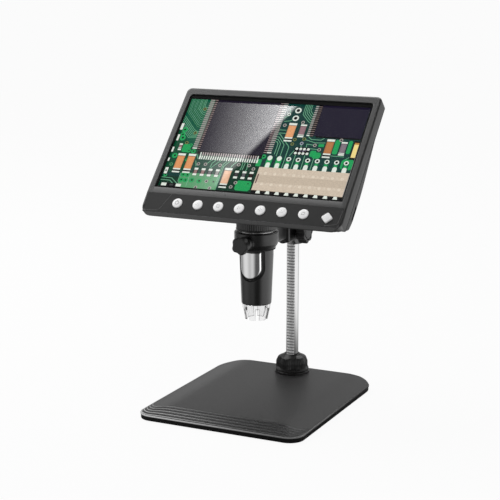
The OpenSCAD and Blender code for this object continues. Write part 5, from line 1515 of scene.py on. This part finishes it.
    def capacitors(self):
        """The capacitors, and the other small parts between them."""
        tall = [
            (-69.1, -62.9, -10.2, -28.1, self.tan), (-60.1, -54, -10, -27.9, self.tan),
            (-25.2, -19.2, -20.6, -38.8, (0.75, 0.46, 0.3)), (14.1, 20.4, 24.4, 7.2, (0.7, 0.33, 0.15)),
            (49.1, 55.1, 11.6, -5.4, (0.42, 0.17, 0.06)),
        ]
        for x0, x1, high, low, colour in tall:
            self.capacitor(x0, x1, high, low, colour)
        short = [
            (23.9, 28.7, 23.7, 11.8, self.mauve), (61.1, 65.6, 9.9, -2.4, (0.2, 0.16, 0.19)),
            (-71.4, -68.9, -1, -7.4, (0.36, 0.2, 0.2)),
        ]
        for x0, x1, high, low, colour in short:
            self.capacitor(x0, x1, high, low, colour, 1.4, 0.5)
        body = [
            (0.3, 0.17, 0.16), (0.3, 0.17, 0.16), (0.12, 0.12, 0.12), (0.3, 0.3, 0.28),
            self.coal, (0.11, 0.11, 0.12), (0.03, 0.012, 0.01),
        ]
        for x, colour in zip((-49.2, -43, -37, -30.8, -14.6, -8.4, -2.4), body):
            self.block(x - 1.8, x + 1.8, -29.6, -22.4, self.black, 3)
            self.block(x - 1.3, x + 1.3, -28.2, -24, colour, 4)
            for y in (-24.3, -29.5):
                self.block(x - 1.6, x + 1.6, y, y + 1.8, self.white, 4.5)
        self.block(25.4, 37.2, -4.2, 2.7, self.black, 2)
        for x in (27, 30.2, 33.2, 36.4):
            for y in (1.2, -2.8):
                self.disc(x, y, 1.15, self.white, 3)
        for x, y in [(30, -0.4), (32.6, -0.8), (34.4, 0.2)]:
            self.disc(x, y, 0.8, (0.16, 0.14, 0.2), 4)
        self.blocks(
            (70.6, self.right, -5.4, 11.4, self.black, 2),
            (71.4, self.right, -3.6, 9.8, self.cream, 4),
            (71.4, self.right, 8.2, 9.8, (0.5, 0.22, 0.05), 5),
            (-74.2, -57, -41.2, -38, self.black, 3),
            (-74, -69.6, -40.8, -38.2, self.white, 4),
            (-61.4, -57, -40.8, -38.2, self.white, 4),
            (-66.8, -63.6, -40.4, -38.8, self.coal, 4))
        ends = [
            (-76.5, -74.2, 12, 18.2), (-76, -74.3, 1.6, 7.4), (-76.5, -75, -9.2, -4.6),
            (-76.5, -75.2, -18, -15), (-75.6, -73, -29.8, -24),
        ]
        for x0, x1, y0, y1 in ends:
            self.block(x0, x1 + 0.5, y0 - 0.5, y1 + 0.4, self.black, 3)
            self.block(x0, x1, y0, y1, self.white, 4)
        self.block(-75, -73.8, -27.6, -26.2, self.black, 5)

    def vias(self):
        """Rings of bare copper, and green lobes with a dark hole."""
        lobes = [
            (-72, 12.2, 2.5), (-71.2, 4.4, 2.6), (-72.2, 7.5, 2.2), (-61.8, -2, 1.6),
            (-61.6, -7.3, 1.7), (-72, -12.6, 2.4), (-57.5, -7.6, 2), (-58.6, -29.5, 2),
            (-54.9, -29.6, 2), (-58.6, -34.4, 2), (-54.9, -34.5, 2), (-49.6, -34, 2.2),
            (-43.2, -34.3, 2.2), (2.5, -8, 2), (-2.4, -33.4, 1.5), (-73.6, -31, 1.6), (-60.6, -16, 1.2),
        ]
        for x, y, size in lobes:
            self.disc(x, y, size, self.leaf, 2)
            self.disc(x + 0.1, y + 0.1, size * 0.36, self.black, 4)
        rings = [
            (-61.6, 33, self.olive), (-62, 9.7, self.olive), (-49.2, -18.8, self.tin),
            (-43.1, -18.7, self.tin), (-30.6, -18.7, self.tin), (-15.4, -17, self.tin),
            (-6.7, -17, self.tin), (-2.2, -19.8, self.tin), (-37, -34, self.tin), (-31, -34, self.mint),
            (-12.7, -33.3, self.tin), (-15.4, -37.3, self.tin), (-44.2, -40.2, self.tin),
            (-32.4, -40, self.tin), (-72.2, -20.8, self.mint), (11, 32.4, self.white),
            (10.6, 22, self.tin), (24.6, 25.6, self.tin), (30.2, 10.4, self.olive),
            (22.8, 9.4, self.olive), (22, 5.2, self.olive), (29.4, 6.3, (0.4, 0.4, 0.5)),
            (40.4, 5.3, self.tin), (45, 1.5, self.tin), (60, 11.4, self.tin), (-66, 0, self.olive),
        ]
        for x, y, colour in rings:
            self.ring(x, y, 1.45, colour)
        for y in (36.4, 29.1):
            self.ring(17.5, y, 2.6, self.white, 0.56, self.black)

    def finish_picture(self):
        """Every shape as a fan of triangles round its middle, a hair's breadth apart by layer, with its
        colour held on its corners; all but the top layer are cut off at the display's edge. The top layer
        is a painted highlight: a grey strip along the right edge that stands in for the reflection of the
        recess's wall."""
        # painted highlight: a grey strip down the picture's right edge, in place of the recess wall's
        # reflection
        self.add([(74.9, -38.4), (75.5, -38.4), (76.3, 42.4), (75.5, 42.4)], grey(0.34)[:3], 7)
        points, faces, paint, start = [], [], [], 0
        for line, colour, layer in self.shapes:
            # the painted highlight strip at layer 7 is not cut off
            if layer < 7:
                line = np.column_stack([line[:, 0].clip(self.left, self.right),
                                        line[:, 1].clip(self.low, self.high)])
            count = len(line)
            middle = line.mean(0, keepdims=True)
            x, y = (line - middle).T
            if x @ np.roll(y, -1) < y @ np.roll(x, -1):
                line = line[::-1]
            flat = np.concatenate([line, middle])
            points.append(at_height(flat, self.back + layer * self.layer_step))
            ring = np.arange(count)
            faces.append(np.column_stack([ring, (ring + 1) % count, np.full(count, count)]) + start)
            paint.append(np.tile([*colour, 1.0], (count + 1, 1)))
            start += count + 1
        mesh = mesh_of("display_picture", on_screen(np.concatenate(points)), np.concatenate(faces))
        colours = mesh.color_attributes.new("paint", "FLOAT_COLOR", "POINT")
        colours.data.foreach_set("color", np.concatenate(paint).astype(np.float32).ravel())
        mesh.materials.append(picture_finish())
        made = placed("display_picture", mesh)
        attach(made, "head")


OPERATORS = [
    MICROSCOPE_OT_studio, MICROSCOPE_OT_finishes, MICROSCOPE_OT_base, MICROSCOPE_OT_lock_nut,
    MICROSCOPE_OT_post, MICROSCOPE_OT_carriage, MICROSCOPE_OT_ring, MICROSCOPE_OT_tube,
    MICROSCOPE_OT_cap, MICROSCOPE_OT_bezel, MICROSCOPE_OT_key_lines, MICROSCOPE_OT_rear,
    MICROSCOPE_OT_buttons, MICROSCOPE_OT_picture,
]


class MICROSCOPE_PT_panel(bpy.types.Panel):
    """Lists the building steps in the sidebar"""

    bl_idname = "MICROSCOPE_PT_panel"
    bl_label = "Display Microscope"
    bl_space_type = "VIEW_3D"
    bl_region_type = "UI"
    bl_category = "Microscope"

    def draw(self, context):
        for operator in OPERATORS:
            self.layout.operator(operator.bl_idname)


def register():
    for made in (MicroscopeLook, *OPERATORS, MICROSCOPE_PT_panel):
        bpy.utils.register_class(made)
    bpy.types.Scene.microscope_look = bpy.props.PointerProperty(type=MicroscopeLook)


def unregister():
    del bpy.types.Scene.microscope_look
    for made in (MICROSCOPE_PT_panel, *reversed(OPERATORS), MicroscopeLook):
        bpy.utils.unregister_class(made)


def main():
    register()
    for operator in OPERATORS:
        group, name = operator.bl_idname.split(".")
        getattr(getattr(bpy.ops, group), name)()


if __name__ == "__main__":
    main()
